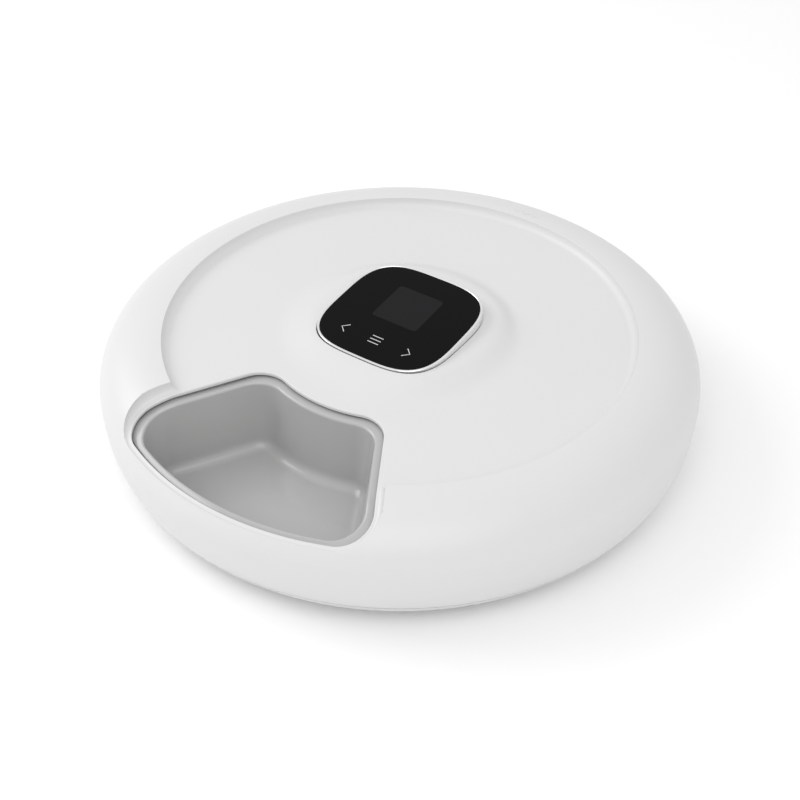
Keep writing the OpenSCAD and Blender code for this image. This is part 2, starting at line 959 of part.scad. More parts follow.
// One lift-out bowl, turned from the front
module food_bowl(turn) {
    color("darkgray")
        rotate([0, 0, turn])
            difference() {
                intersection() {
                    tray_block();
                    bowl_share();
                }
                well_space(0, well_floor_h);
                difference() {
                    tray_underside();
                    well_space(tray_wall, tray_seat_h - 1);
                }
            }
}

module turntable() {
    color("gainsboro") {
        difference() {
            ring(table_bore_r, table_r, table_h, tray_seat_h);
            at_turns(ring_screw_turns, ring_screw_at)
                rod(screw_r + pilot_gap, table_h - 1, tray_seat_h - 0.5);
        }
        at_turns(peg_turns, peg_at)
            rod(peg_r, tray_seat_h - eps, tray_seat_h + peg_h);
    }
}

// Outline of an external gear with straight flanks, its teeth widened by an angle, play
function gear_points(teeth, grow, play) = [
    for (i = [0:teeth - 1])
        let (
            mid = 360 * i / teeth,
            r = gear_m * teeth / 2,
            tip = r + gear_m + grow,
            root = r - 1.25 * gear_m + grow,
            lean = tan(20) * 180 / (PI * r),
            at_tip = 90 / teeth - (tip - r) * lean + play,
            at_root = 90 / teeth - (root - r) * lean + play
        )
            for (q = [[root, -at_root], [tip, -at_tip], [tip, at_tip], [root, at_root]])
                [q[0] * cos(mid + q[1]), q[0] * sin(mid + q[1])]
];

module ring_gear() {
    color("ivory")
        difference() {
            union() {
                rod_at_top(ring_out_r, ring_low, table_h);
                rod_at_top(ring_out_r + flange_w, table_h - flange_t, table_h);
            }
            // Tooth spaces, which are the teeth of the matching external gear
            translate([0, 0, ring_low - 1])
                linear_extrude(table_h - ring_low + 2)
                    polygon(gear_points(ring_teeth, 0.25 * gear_m, gear_play));
            at_turns(ring_screw_turns, ring_screw_at)
                rod(screw_r + clear_gap, ring_low - 1, table_h + 1);
        }
}

module ring_gear_screws() {
    color("silver")
        at_turns(ring_screw_turns, ring_screw_at)
            screw_up(table_h - flange_t, tray_seat_h - 0.6);
}

module index_magnets() {
    color("silver")
        at_turns([for (a = well_turns) a + sensor_turn], magnet_at)
            rod(magnet_r, table_h - magnet_t, table_h);
}

// ---- lid ----

crest_turns = [for (i = [0:profile_steps]) 90 - 90 * i / profile_steps];
outer_side = concat(
    [for (t = crest_turns) [crest_r + shoulder_w * cos(t), belly_h + (crest_h - belly_h) * sin(t)]],
    [for (z = spread(belly_h - 1, seam_h, profile_steps)) [lower_r(z), z]]
);
inner_side = concat(
    [for (z = spread(seam_h, belly_h - 1, profile_steps)) [lower_r(z) - lid_wall, z]],
    [
        for (t = spread(0, shell_turn, profile_steps))
            [
                crest_r + (shoulder_w - lid_wall) * cos(t),
                belly_h + (crest_h - lid_wall - belly_h) * sin(t)
            ]
    ]
);

module lid_skin() {
    rotate_extrude($fn = 180)
        polygon(concat(
            [[0, recess_h], [crest_r - step_w, recess_h]],
            outer_side,
            inner_side,
            [[0, shell_in_h]]
        ));
}

module lid_solid() {
    rotate_extrude($fn = 180)
        polygon(concat([[0, crest_h]], outer_side, [[0, seam_h]]));
}

// Everything above the ledge round the opening, lowered by a depth
module above_ledge(depth) {
    r0 = crest_r - step_w - 3;
    rotate_extrude($fn = 180)
        polygon(concat(
            [[r0, crest_h + 1]],
            [[r0, ledge_h(r0) - depth]],
            [for (r = spread(crest_r, body_r, ledge_steps)) [r, ledge_h(r) - depth]],
            [[body_r, crest_h + 1]]
        ));
}

module ledge_prism(grow) {
    translate([0, 0, seam_h])
        linear_extrude(crest_h)
            opening_outline(grow);
}

module lid() {
    color("white")
        difference() {
            union() {
                lid_skin();
                intersection() {
                    lid_solid();
                    above_ledge(lid_wall);
                    ledge_prism(ledge_w + lid_wall);
                }
                mound(mound_half, mound_drop, mound_foot_r, recess_h - eps);
            }
            intersection() {
                above_ledge(0);
                ledge_prism(ledge_w);
            }
            ledge_prism(0);
            mound(hole_half, mound_drop + lid_wall + 0.2, mound_foot_r - 3, shell_in_h - 0.1);
            translate([0, 0, shell_in_h])
                linear_extrude(crest_h)
                    polygon(squircle(hole_half));
        }
}

// ---- drive ----

module drive_pinion() {
    color("ivory")
        translate([0, -shaft_at, 0])
            difference() {
                union() {
                    translate([0, 0, pinion_low])
                        linear_extrude(pinion_t)
                            rotate(-90)
                                polygon(gear_points(pinion_teeth, 0, -gear_play));
                    rod(pinion_hub_r, pinion_low, bracket_h - 0.4);
                }
                rod(shaft_r, pinion_low - 1, bracket_h + 1);
            }
}

module motor_shaft() {
    color("silver")
        translate([0, -shaft_at, 0])
            rod(shaft_r, pinion_low - 0.6, motor_low + shaft_hold - 0.2);
}

module roller(index) {
    color("ivory")
        rotate([0, 0, roller_turns[index]])
            translate([roller_at - roller_w / 2, 0, axle_h])
                rotate([0, 90, 0])
                    difference() {
                        cylinder(h = roller_w, r = roller_r, $fn = 64);
                        translate([0, 0, -1])
                            cylinder(h = roller_w + 2, r = axle_r + run_fit, $fn = 32);
                    }
}

// ---- battery door ----

module battery_door() {
    color("gainsboro") {
        translate([-door_half_x, door_axis_y, foot_h])
            cube([2 * door_half_x, bay_y + door_half_y - door_axis_y, door_t]);
        translate([-door_half_x, door_axis_y, door_axis_h])
            rotate([0, 90, 0])
                cylinder(h = 2 * door_half_x, r = door_t / 2, $fn = 48);
    }
}

base_shell();
bottom_cover();
hub_cover();
panel_frame();
control_panel();
display_module();
control_board();
touch_springs();
buzzer();
board_screws();
main_board();
main_board_screws();
display_ribbon();
power_socket();
power_board();
power_lead();
lead_cover();
drive_motor();
motor_bracket();
motor_screws();
bracket_screws();
motor_lead();
battery_cells();
battery_contacts();
battery_lead();
position_sensor();
sensor_lead();
bearing_ring();
roller_axles();
rubber_feet();
base_screws();
food_bowl(well_turns[0]);  // food_bowl_1
food_bowl(well_turns[1]);  // food_bowl_2
food_bowl(well_turns[2]);  // food_bowl_3
food_bowl(well_turns[3]);  // food_bowl_4
food_bowl(well_turns[4]);  // food_bowl_5
food_bowl(well_turns[5]);  // food_bowl_6
turntable();
ring_gear();
ring_gear_screws();
index_magnets();
lid();
drive_pinion();
motor_shaft();
roller(0);  // roller_right
roller(1);  // roller_left
roller(2);  // roller_front
battery_door();
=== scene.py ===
"""Looks of a round automatic pet feeder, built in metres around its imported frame.

Sizes in the classes are millimetres in the frame's own axes: +Z is up, the front faces -Y.
"""
import json
import logging
import math
from dataclasses import dataclass
from enum import Enum
from typing import Any, Callable, Iterable, Sequence

import bmesh
import bpy
import numpy as np
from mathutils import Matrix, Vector
from mathutils.geometry import delaunay_2d_cdt


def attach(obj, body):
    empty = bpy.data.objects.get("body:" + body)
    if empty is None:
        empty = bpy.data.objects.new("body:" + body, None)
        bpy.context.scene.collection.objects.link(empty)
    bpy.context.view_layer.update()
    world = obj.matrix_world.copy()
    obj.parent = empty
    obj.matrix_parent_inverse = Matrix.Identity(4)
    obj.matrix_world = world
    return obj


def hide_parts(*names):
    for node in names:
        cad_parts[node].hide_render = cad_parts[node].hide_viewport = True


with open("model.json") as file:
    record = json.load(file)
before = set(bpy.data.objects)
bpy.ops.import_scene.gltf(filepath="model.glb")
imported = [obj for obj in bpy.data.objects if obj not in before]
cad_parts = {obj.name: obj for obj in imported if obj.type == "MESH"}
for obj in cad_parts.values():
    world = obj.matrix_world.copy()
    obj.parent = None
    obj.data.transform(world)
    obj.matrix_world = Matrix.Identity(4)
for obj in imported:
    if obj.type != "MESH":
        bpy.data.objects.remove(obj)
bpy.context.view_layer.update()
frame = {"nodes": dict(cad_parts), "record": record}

MM = 0.001
MERGE_MM = 0.004
FAR = 1e3
LOG = logging.getLogger("feeder")
Points = np.ndarray
Path2D = Sequence[tuple[float, float]]


# ---- shader building ----


class Wire:
    """A shader output that adds Math nodes when it is used in arithmetic."""

    def __init__(self, shader: "Shader", socket: bpy.types.NodeSocket) -> None:
        """Wraps one output socket of a shader's tree."""
        self.shader = shader
        self.socket = socket

    def _math(self, operation: str, first: Any, second: Any = None) -> "Wire":
        """Adds one Math node.

        Args:
            operation: The Math node's operation.
            first: A number or wire for the first input.
            second: A number or wire for the second input, or None.

        Returns:
            The node's output.
        """
        inputs = {0: first} if second is None else {0: first, 1: second}
        return self.shader.node("ShaderNodeMath", {"operation": operation}, inputs)

    def __add__(self, other: Any) -> "Wire":
        """self + other."""
        return self._math("ADD", self, other)

    def __radd__(self, other: Any) -> "Wire":
        """other + self."""
        return self._math("ADD", other, self)

    def __sub__(self, other: Any) -> "Wire":
        """self - other."""
        return self._math("SUBTRACT", self, other)

    def __rsub__(self, other: Any) -> "Wire":
        """other - self."""
        return self._math("SUBTRACT", other, self)

    def __mul__(self, other: Any) -> "Wire":
        """self * other."""
        return self._math("MULTIPLY", self, other)

    def __rmul__(self, other: Any) -> "Wire":
        """other * self."""
        return self._math("MULTIPLY", other, self)

    def __truediv__(self, other: Any) -> "Wire":
        """self / other."""
        return self._math("DIVIDE", self, other)

    def __pow__(self, other: Any) -> "Wire":
        """self raised to other."""
        return self._math("POWER", self, other)

    def __abs__(self) -> "Wire":
        """Size of self without its sign."""
        return self._math("ABSOLUTE", self)

    def above(self, low: float, high: float) -> "Wire":
        """Smooth step of self, from 0 at low to 1 at high."""
        return self.shader.node(
            "ShaderNodeMapRange",
            {"interpolation_type": "SMOOTHSTEP"},
            {"Value": self, "From Min": low, "From Max": high},
        )


class Shader:
    """Builds the node tree of one material around a Principled BSDF."""

    def __init__(self, name: str) -> None:
        """Starts a material of that name with an empty tree."""
        self.material = bpy.data.materials.new(name)
        self.material.use_nodes = True
        self.tree = self.material.node_tree
        self.tree.nodes.clear()
        self.surface = self.tree.nodes.new("ShaderNodeBsdfPrincipled")
        output = self.tree.nodes.new("ShaderNodeOutputMaterial")
        self.tree.links.new(self.surface.outputs[0], output.inputs["Surface"])

    def node(
        self,
        kind: str,
        settings: dict[str, Any] | None = None,
        inputs: dict[Any, Any] | None = None,
        output: int | str = 0,
    ) -> Wire:
        """Adds a node.

        Args:
            kind: The node's type.
            settings: Properties set before the sockets, with "stops" for a ramp.
            inputs: Values or wires by socket name or number.
            output: The output to return.

        Returns:
            The chosen output as a wire.
        """
        made = self.tree.nodes.new(kind)
        for key, value in (settings or {}).items():
            if key == "stops":
                ramp = made.color_ramp
                ramp.elements[0].position, ramp.elements[0].color = value[0]
                ramp.elements[1].position, ramp.elements[1].color = value[-1]
                for place, colour in value[1:-1]:
                    ramp.elements.new(place).color = colour
            else:
                setattr(made, key, value)
        for key, value in (inputs or {}).items():
            self.feed(made.inputs[key], value)
        return Wire(self, made.outputs[output])

    def feed(self, socket: bpy.types.NodeSocket, value: Any) -> None:
        """Links a wire to a socket, or sets a plain value on it."""
        if isinstance(value, Wire):
            self.tree.links.new(value.socket, socket)
        else:
            socket.default_value = value

    def place(self) -> Wire:
        """Object coordinates, in metres."""
        return self.node("ShaderNodeTexCoord", output="Object")

    def noise(self, scale: float, detail: float = 3.0, stretch: Sequence[float] = (1, 1, 1)) -> Wire:
        """Noise over the object's own coordinates.

        Args:
            scale: Features per metre.
            detail: Octaves of finer noise.
            stretch: Scale along each axis.

        Returns:
            The noise value, about 0 to 1.
        """
        where = self.node("ShaderNodeMapping", None, {"Vector": self.place(), "Scale": tuple(stretch)})
        return self.node("ShaderNodeTexNoise", None, {"Vector": where, "Scale": scale, "Detail": detail})

    def blend(self, factor: Any, first: Any, second: Any) -> Wire:
        """Colour between first and second by factor."""
        return self.node(
            "ShaderNodeMix", {"data_type": "RGBA"}, {0: factor, 6: first, 7: second}, output=2
        )

    def bump(self, height: Wire, depth_mm: float, strength: float = 1.0) -> Wire:
        """Normal from a height, where depth_mm is how deep a height of 1 is."""
        return self.node(
            "ShaderNodeBump", None, {"Height": height, "Distance": depth_mm * MM, "Strength": strength}
        )


def rgba(colour: Sequence[float], gain: float = 1.0) -> tuple[float, float, float, float]:
    """Colour with alpha, each channel times gain and at most 1."""
    red, green, blue = (min(1.0, part * gain) for part in colour)
    return red, green, blue, 1.0


@dataclass(frozen=True)
class Plastic:
    """Moulded plastic with a fine spark-eroded grain and a faint cloudiness."""

    name: str
    colour: tuple[float, float, float]
    rough: float = 0.4
    grain_per_m: float = 1600.0
    grain_mm: float = 0.006
    cloud: float = 0.03
    smudge: float = 0.05
    coat: float = 0.0
    specular: float = 0.5

    def material(self) -> bpy.types.Material:
        """The plastic's material, made once."""
        if self.name in bpy.data.materials:
            return bpy.data.materials[self.name]
        shader = Shader(self.name)
        surface = shader.surface
        cloud = shader.noise(14.0, 2.0)
        fine = shader.noise(160.0, 4.0)
        shade = (cloud * 0.75 + fine * 0.25).above(0.3, 0.7)
        colour = shader.blend(shade, rgba(self.colour, 1 - self.cloud), rgba(self.colour, 1 + self.cloud))
        shader.feed(surface.inputs["Base Color"], colour)
        wiped = shader.noise(45.0, 5.0, (1.0, 0.35, 1.0))
        rough = self.rough + (wiped - 0.5) * (2 * self.smudge) + (fine - 0.5) * self.smudge
        shader.feed(surface.inputs["Roughness"], rough)
        grain = shader.noise(self.grain_per_m, 3.0)
        shader.feed(surface.inputs["Normal"], shader.bump(grain, self.grain_mm))
        surface.inputs["Specular IOR Level"].default_value = self.specular
        surface.inputs["Coat Weight"].default_value = self.coat
        surface.inputs["Coat Roughness"].default_value = 0.08
        return shader.material


@dataclass(frozen=True)
class Gloss:
    """Polished plate with faint fingerprints and dust."""

    name: str
    colour: tuple[float, float, float]
    rough: float = 0.06
    prints: float = 0.08
    coat: float = 0.0
    specular: float = 0.06

    def material(self) -> bpy.types.Material:
        """The plate's material, made once."""
        if self.name in bpy.data.materials:
            return bpy.data.materials[self.name]
        shader = Shader(self.name)
        surface = shader.surface
        wiped = shader.noise(60.0, 4.0, (1.0, 0.3, 1.0)).above(0.45, 0.75)
        dust = shader.noise(2600.0, 2.0).above(0.71, 0.76)
        colour = shader.blend(dust * 0.25, rgba(self.colour), rgba((0.1, 0.1, 0.1)))
        shader.feed(surface.inputs["Base Color"], colour)
        shader.feed(surface.inputs["Roughness"], self.rough + wiped * self.prints + dust * 0.2)
        wave = shader.noise(22.0, 1.0)
        shader.feed(surface.inputs["Normal"], shader.bump(wave, 0.02))
        surface.inputs["Specular IOR Level"].default_value = self.specular
        surface.inputs["Coat Weight"].default_value = self.coat
        surface.inputs["Coat Roughness"].default_value = 0.03
        return shader.material


@dataclass(frozen=True)
class Metal:
    """Metal with fine brushed or turned lines."""

    name: str
    colour: tuple[float, float, float]
    rough: float = 0.28
    lines: float = 0.12
    stretch: tuple[float, float, float] = (1.0, 1.0, 14.0)

    def material(self) -> bpy.types.Material:
        """The metal's material, made once."""
        if self.name in bpy.data.materials:
            return bpy.data.materials[self.name]
        shader = Shader(self.name)
        surface = shader.surface
        streak = shader.noise(420.0, 4.0, self.stretch)
        stain = shader.noise(70.0, 3.0).above(0.4, 0.75)
        colour = shader.blend(stain * 0.5 + streak * 0.3, rgba(self.colour, 1.05), rgba(self.colour, 0.8))
        shader.feed(surface.inputs["Base Color"], colour)
        shader.feed(surface.inputs["Roughness"], self.rough + (streak - 0.5) * self.lines)
        shader.feed(surface.inputs["Normal"], shader.bump(streak, 0.008))
        surface.inputs["Metallic"].default_value = 1.0
        return shader.material


@dataclass(frozen=True)
class Rubber:
    """Soft moulded rubber, dull, with pale dust in its grain."""

    name: str
    colour: tuple[float, float, float]

    def material(self) -> bpy.types.Material:
        """The rubber's material, made once."""
        if self.name in bpy.data.materials:
            return bpy.data.materials[self.name]
        shader = Shader(self.name)
        surface = shader.surface
        grain = shader.noise(1100.0, 4.0)
        dust = shader.noise(90.0, 4.0).above(0.5, 0.8)
        colour = shader.blend(dust * 0.35, rgba(self.colour), rgba(self.colour, 2.2))
        shader.feed(surface.inputs["Base Color"], colour)
        shader.feed(surface.inputs["Roughness"], 0.72 + grain * 0.16)
        shader.feed(surface.inputs["Normal"], shader.bump(grain, 0.03))
        return shader.material


@dataclass(frozen=True)
class Circuit:
    """Solder-masked board with faint tracks and pads."""

    name: str
    colour: tuple[float, float, float]

    def material(self) -> bpy.types.Material:
        """The board's material, made once."""
        if self.name in bpy.data.materials:
            return bpy.data.materials[self.name]
        shader = Shader(self.name)
        surface = shader.surface
        cells = shader.node(
            "ShaderNodeTexVoronoi",
            {"distance": "MANHATTAN", "feature": "F1"},
            {"Vector": shader.place(), "Scale": 320.0, "Randomness": 0.7},
        )
        track = cells.above(0.45, 0.5)
        pad = 1 - cells.above(0.1, 0.14)
        green = shader.blend(track, rgba(self.colour), rgba(self.colour, 1.7))
        colour = shader.blend(pad * 0.8, green, rgba((0.72, 0.66, 0.5)))
        shader.feed(surface.inputs["Base Color"], colour)
        shader.feed(surface.inputs["Roughness"], 0.34 - pad * 0.1)
        shader.feed(surface.inputs["Normal"], shader.bump(track, 0.04))
        return shader.material


WHITE = Plastic("white shell plastic", (0.69, 0.69, 0.688), rough=0.38, cloud=0.006)
WHITE_BASE = Plastic("white base plastic", (0.67, 0.67, 0.666), rough=0.5, grain_mm=0.02, cloud=0.012)
GREY = Plastic("grey tray plastic", (0.44, 0.44, 0.437), rough=0.3, grain_mm=0.003, cloud=0.02, coat=0.6)
BLACK_GLASS = Gloss("black panel plate", (0.004, 0.004, 0.0045))
SCREEN = Gloss("dark display window", (0.014, 0.014, 0.015), rough=0.22, prints=0.04)
BRIGHT = Metal("bright frame", (0.92, 0.92, 0.925), rough=0.28, lines=0.05)
STEEL = Metal("zinc plated steel", (0.62, 0.62, 0.63))
BRASS = Metal("nickel brass spring", (0.74, 0.62, 0.38))
MOTOR = Metal("motor case", (0.55, 0.56, 0.58), rough=0.34)
BOARD = Circuit("circuit board", (0.012, 0.11, 0.05))
BLACK = Plastic("black plastic", (0.022, 0.022, 0.023), rough=0.45, grain_mm=0.02)
IVORY = Plastic("ivory gear plastic", (0.70, 0.67, 0.58), rough=0.42, grain_mm=0.006)
RUBBER = Rubber("grey rubber", (0.09, 0.09, 0.092))
WRAP = Plastic("orange cell wrap", (0.62, 0.19, 0.03), rough=0.25, grain_mm=0.002, coat=0.5)
LEAD_BLACK = Plastic("black lead", (0.02, 0.02, 0.02), rough=0.5)
LEAD_RED = Plastic("red lead", (0.45, 0.02, 0.015), rough=0.5)
RIBBON = Plastic("ivory ribbon", (0.72, 0.70, 0.62), rough=0.35)
PRINT = Plastic("pale key print", (0.62, 0.62, 0.63), rough=0.35, grain_mm=0.001)

SLOT_FINISH = {
    "white_shell": WHITE,
    "white_base": WHITE_BASE,
    "grey_tray": GREY,
    "frame_bright": BRIGHT,
    "panel_black": BLACK_GLASS,
    "display_dark": SCREEN,
    "circuit_board": BOARD,
    "black_plastic": BLACK,
    "steel": STEEL,
    "spring_brass": BRASS,
    "ivory_plastic": IVORY,
    "motor_case": MOTOR,
    "rubber_grey": RUBBER,
    "cell_wrap": WRAP,
    "lead_black": LEAD_BLACK,
    "lead_red": LEAD_RED,
    "ribbon_ivory": RIBBON,
}


# ---- mesh building ----


@dataclass(frozen=True)
class Tag:
    """Where a finished piece belongs: its name, body, record slot, finish and hidden nodes."""

    name: str
    body: str
    slot: str
    finish: Any
    stands_for: tuple[str, ...] = ()


def new_object(name: str, points_mm: Points, faces: Iterable[Sequence[int]]) -> bpy.types.Object:
    """Makes a smooth-shaded object at the origin.

    Args:
        name: The object's name.
        points_mm: Vertices as an n by 3 array in millimetres.
        faces: Vertex numbers of each face, counted outwards.

    Returns:
        The linked object.
    """
    mesh = bpy.data.meshes.new(name)
    mesh.from_pydata((np.asarray(points_mm, float) * MM).tolist(), [], [list(map(int, f)) for f in faces])
    mesh.validate()
    mesh.shade_smooth()
    made = bpy.data.objects.new(name, mesh)
    bpy.context.scene.collection.objects.link(made)
    return made


def seal(piece: bpy.types.Object, merge_mm: float = 0.002, turn_out: bool = True) -> None:
    """Merges doubled vertices and turns all faces outwards."""
    work = bmesh.new()
    work.from_mesh(piece.data)
    bmesh.ops.remove_doubles(work, verts=work.verts, dist=merge_mm * MM)
    bmesh.ops.dissolve_degenerate(work, edges=work.edges, dist=1e-7)
    if turn_out:
        bmesh.ops.recalc_face_normals(work, faces=work.faces)
    work.to_mesh(piece.data)
    work.free()


def crisp(piece: bpy.types.Object, angle: float) -> None:
    """Marks edges sharper than angle, in degrees, as sharp, and shades the rest smooth."""
    piece.data.shade_smooth()
    piece.data.set_sharp_from_angle(angle=math.radians(angle))


def hand_over(piece: bpy.types.Object, tag: Tag) -> None:
    """Gives a piece its finish and body, and hides the nodes that it stands for."""
    piece.data.materials.clear()
    piece.data.materials.append(tag.finish.material())
    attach(piece, tag.body)
    if tag.stands_for:
        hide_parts(*tag.stands_for)
    LOG.info("%s: %d faces, rides on %s", piece.name, len(piece.data.polygons), tag.body)


def loft(loops: Sequence[Points], close: bool = False, caps: bool = True) -> tuple[Points, list[list[int]]]:
    """Skins a row of loops that have the same number of points.

    Args:
        loops: Closed loops, each an n by 3 array.
        close: Whether the last loop joins the first.
        caps: Whether the first and last loops are filled.

    Returns:
        The vertices and faces.
    """
    count = len(loops[0])
    points = np.vstack(loops)
    faces: list[list[int]] = []
    pairs = list(zip(range(len(loops) - 1), range(1, len(loops))))
    if close:
        pairs.append((len(loops) - 1, 0))
    for low, high in pairs:
        for i in range(count):
            j = (i + 1) % count
            faces.append([low * count + i, low * count + j, high * count + j, high * count + i])
    if caps and not close:
        faces.append(list(range(count))[::-1])
        faces.append(list(range((len(loops) - 1) * count, len(loops) * count)))
    return points, faces


def turned(path: Path2D, segments: int = 96, closed: bool = True) -> tuple[Points, list[list[int]]]:
    """Turns a path of (radius, height) round the Z axis.

    Args:
        path: The path, in order.
        segments: Steps round the axis.
        closed: Whether the path's end joins its start.

    Returns:
        The vertices and faces.
    """
    angles = np.arange(segments) * (2 * math.pi / segments)
    loops = [np.column_stack([r * np.cos(angles), r * np.sin(angles), np.full(segments, z)]) for r, z in path]
    return loft(loops, close=closed, caps=False)


def soft_min(first: Points, second: Points, width: float) -> Points:
    """Lower of two heights, with the crease between them rounded over width."""
    mix = np.clip(0.5 + 0.5 * (second - first) / width, 0, 1)
    return second * (1 - mix) + first * mix - width * mix * (1 - mix)


def soft_max(first: Points, second: Points, width: float) -> Points:
    """Higher of two heights, with the crease between them rounded over width."""
    return -soft_min(-first, -second, width)


def cove(inward: Points, width: float, height: float) -> Points:
    """Height of a concave quarter round that starts at 0 and stands upright at width, then rises on."""
    part = np.clip(inward / width, 0, 1)
    return height * (1 - np.sqrt(1 - part * part)) + np.clip(inward - width, 0, None) * 40


def edge_fall(inside: Points, radius: float) -> Points:
    """How far a rounded edge of that radius has fallen at a distance inside its outline."""
    short = np.clip(radius - inside, 0, radius)
    return radius - np.sqrt(radius * radius - short * short)


class Net:
    """A flat net of triangles with holes, lifted to a top and a bottom height."""

    def __init__(self, loose: Points, loops: Sequence[Points], hole: Callable[[Points], Points]) -> None:
        """Joins points into triangles.

        Args:
            loose: Free points, n by 2.
            loops: Closed outlines, whose edges are kept.
            hole: Says for each of n middles whether it lies in a hole or outside.
        """
        points = [loose]
        edges: list[tuple[int, int]] = []
        start = len(loose)
        for outline in loops:
            count = len(outline)
            edges += [(start + i, start + (i + 1) % count) for i in range(count)]
            points.append(outline)
            start += count
        flat = [Vector(p) for p in np.vstack(points).tolist()]
        verts, _, faces, _, _, _ = delaunay_2d_cdt(flat, edges, [], 0, 1e-5, False)
        self.xy = np.array([tuple(v) for v in verts])
        tris = np.array(faces)
        middles = self.xy[tris].mean(axis=1)
        self.tris = tris[~hole(middles)]
        used = np.unique(self.tris)
        renumber = np.full(len(self.xy), -1)
        renumber[used] = np.arange(len(used))
        self.xy = self.xy[used]
        self.tris = renumber[self.tris]

    def rim_edges(self) -> list[tuple[int, int]]:
        """Edges that belong to one triangle, in its own direction."""
        seen: dict[tuple[int, int], tuple[int, int]] = {}
        for tri in self.tris.tolist():
            for a, b in ((tri[0], tri[1]), (tri[1], tri[2]), (tri[2], tri[0])):
                key = (min(a, b), max(a, b))
                if key in seen:
                    seen[key] = (-1, -1)
                else:
                    seen[key] = (a, b)
        return [edge for edge in seen.values() if edge[0] >= 0]

    def shell(
        self, top: Points, bottom: Points, skirt: Callable[[Points], list[Points]] | None, skirt_from: float
    ) -> tuple[Points, list[list[int]]]:
        """Closes the net into a shell.

        Args:
            top: Height of each point on the upper side.
            bottom: Height of each point on the lower side.
            skirt: Gives the rings between the two sides for the outer rim's points, or None.
            skirt_from: Radius past which a rim edge belongs to the outer rim.

        Returns:
            The vertices and faces.
        """
        count = len(self.xy)
        points = [np.column_stack([self.xy, top]), np.column_stack([self.xy, bottom])]
        faces = self.tris.tolist() + (self.tris[:, ::-1] + count).tolist()
        radius = np.hypot(self.xy[:, 0], self.xy[:, 1])
        rim = self.rim_edges()
        outer = [(a, b) for a, b in rim if min(radius[a], radius[b]) > skirt_from]
        faces += [[b, a, a + count, b + count] for a, b in rim if min(radius[a], radius[b]) <= skirt_from]
        if skirt is None:
            faces += [[b, a, a + count, b + count] for a, b in outer]
            return np.vstack(points), faces
        on_rim = sorted({a for a, _ in outer})
        order = {a: i for i, a in enumerate(on_rim)}
        rings = skirt(self.xy[on_rim])
        start = 2 * count
        levels = [on_rim]
        for ring in rings:
            points.append(ring)
            levels.append(list(range(start, start + len(on_rim))))
            start += len(on_rim)
        levels.append([a + count for a in on_rim])
        for high, low in zip(levels[:-1], levels[1:]):
            faces += [[high[order[b]], high[order[a]], low[order[a]], low[order[b]]] for a, b in outer]
        return np.vstack(points), faces


# ---- geometry node trees ----


class Tree:
    """Builds a geometry node group with named inputs, ending in a set material."""

    def __init__(self, name: str) -> None:
        """Starts a group of that name that takes a geometry and gives one."""
        self.group = bpy.data.node_groups.new(name, "GeometryNodeTree")
        self.sockets: dict[str, str] = {}
        self.group.interface.new_socket("Geometry", in_out="INPUT", socket_type="NodeSocketGeometry")
        self.group.interface.new_socket("Geometry", in_out="OUTPUT", socket_type="NodeSocketGeometry")
        self.entry = self.group.nodes.new("NodeGroupInput")
        self.exit = self.group.nodes.new("NodeGroupOutput")

    def input(self, name: str, kind: str) -> Any:
        """Adds a named input and returns its socket inside the group."""
        made = self.group.interface.new_socket(name, in_out="INPUT", socket_type=kind)
        self.sockets[name] = made.identifier
        return next(s for s in self.entry.outputs if s.identifier == made.identifier)

    def node(
        self, kind: str, settings: dict[str, Any] | None = None, inputs: dict[Any, Any] | None = None
    ) -> Any:
        """Adds a node, sets its properties, then feeds its sockets with values or sockets."""
        made = self.group.nodes.new(kind)
        for key, value in (settings or {}).items():
            setattr(made, key, value)
        for key, value in (inputs or {}).items():
            if isinstance(value, bpy.types.NodeSocket):
                self.group.links.new(value, made.inputs[key])
            else:
                made.inputs[key].default_value = value
        return made

    def finish(self, geometry: Any, material: Any) -> "Tree":
        """Realizes the geometry, sets its material and ends the tree."""
        real = self.node("GeometryNodeRealizeInstances", None, {0: geometry})
        worn = {"Geometry": real.outputs[0], "Material": material}
        dressed = self.node("GeometryNodeSetMaterial", None, worn)
        self.group.links.new(dressed.outputs[0], self.exit.inputs[0])
        return self

    def run(self, name: str, base: bpy.types.Mesh, values: dict[str, Any]) -> bpy.types.Object:
        """Runs the tree on a mesh and keeps the result as a plain mesh.

        Args:
            name: Name of the object that is made.
            base: The mesh that the tree takes.
            values: Values of the named inputs.

        Returns:
            An object at the origin with the plain mesh.
        """
        carrier = bpy.data.objects.new(name + "_carrier", base)
        bpy.context.scene.collection.objects.link(carrier)
        modifier = carrier.modifiers.new("tree", "NODES")
        modifier.node_group = self.group
        for key, value in values.items():
            modifier[self.sockets[key]] = value
        graph = bpy.context.evaluated_depsgraph_get()
        graph.update()
        plain = bpy.data.meshes.new_from_object(carrier.evaluated_get(graph))
        plain.name = name
        carrier.modifiers.remove(modifier)
        bpy.data.objects.remove(carrier)
        made = bpy.data.objects.new(name, plain)
        bpy.context.scene.collection.objects.link(made)
        return made


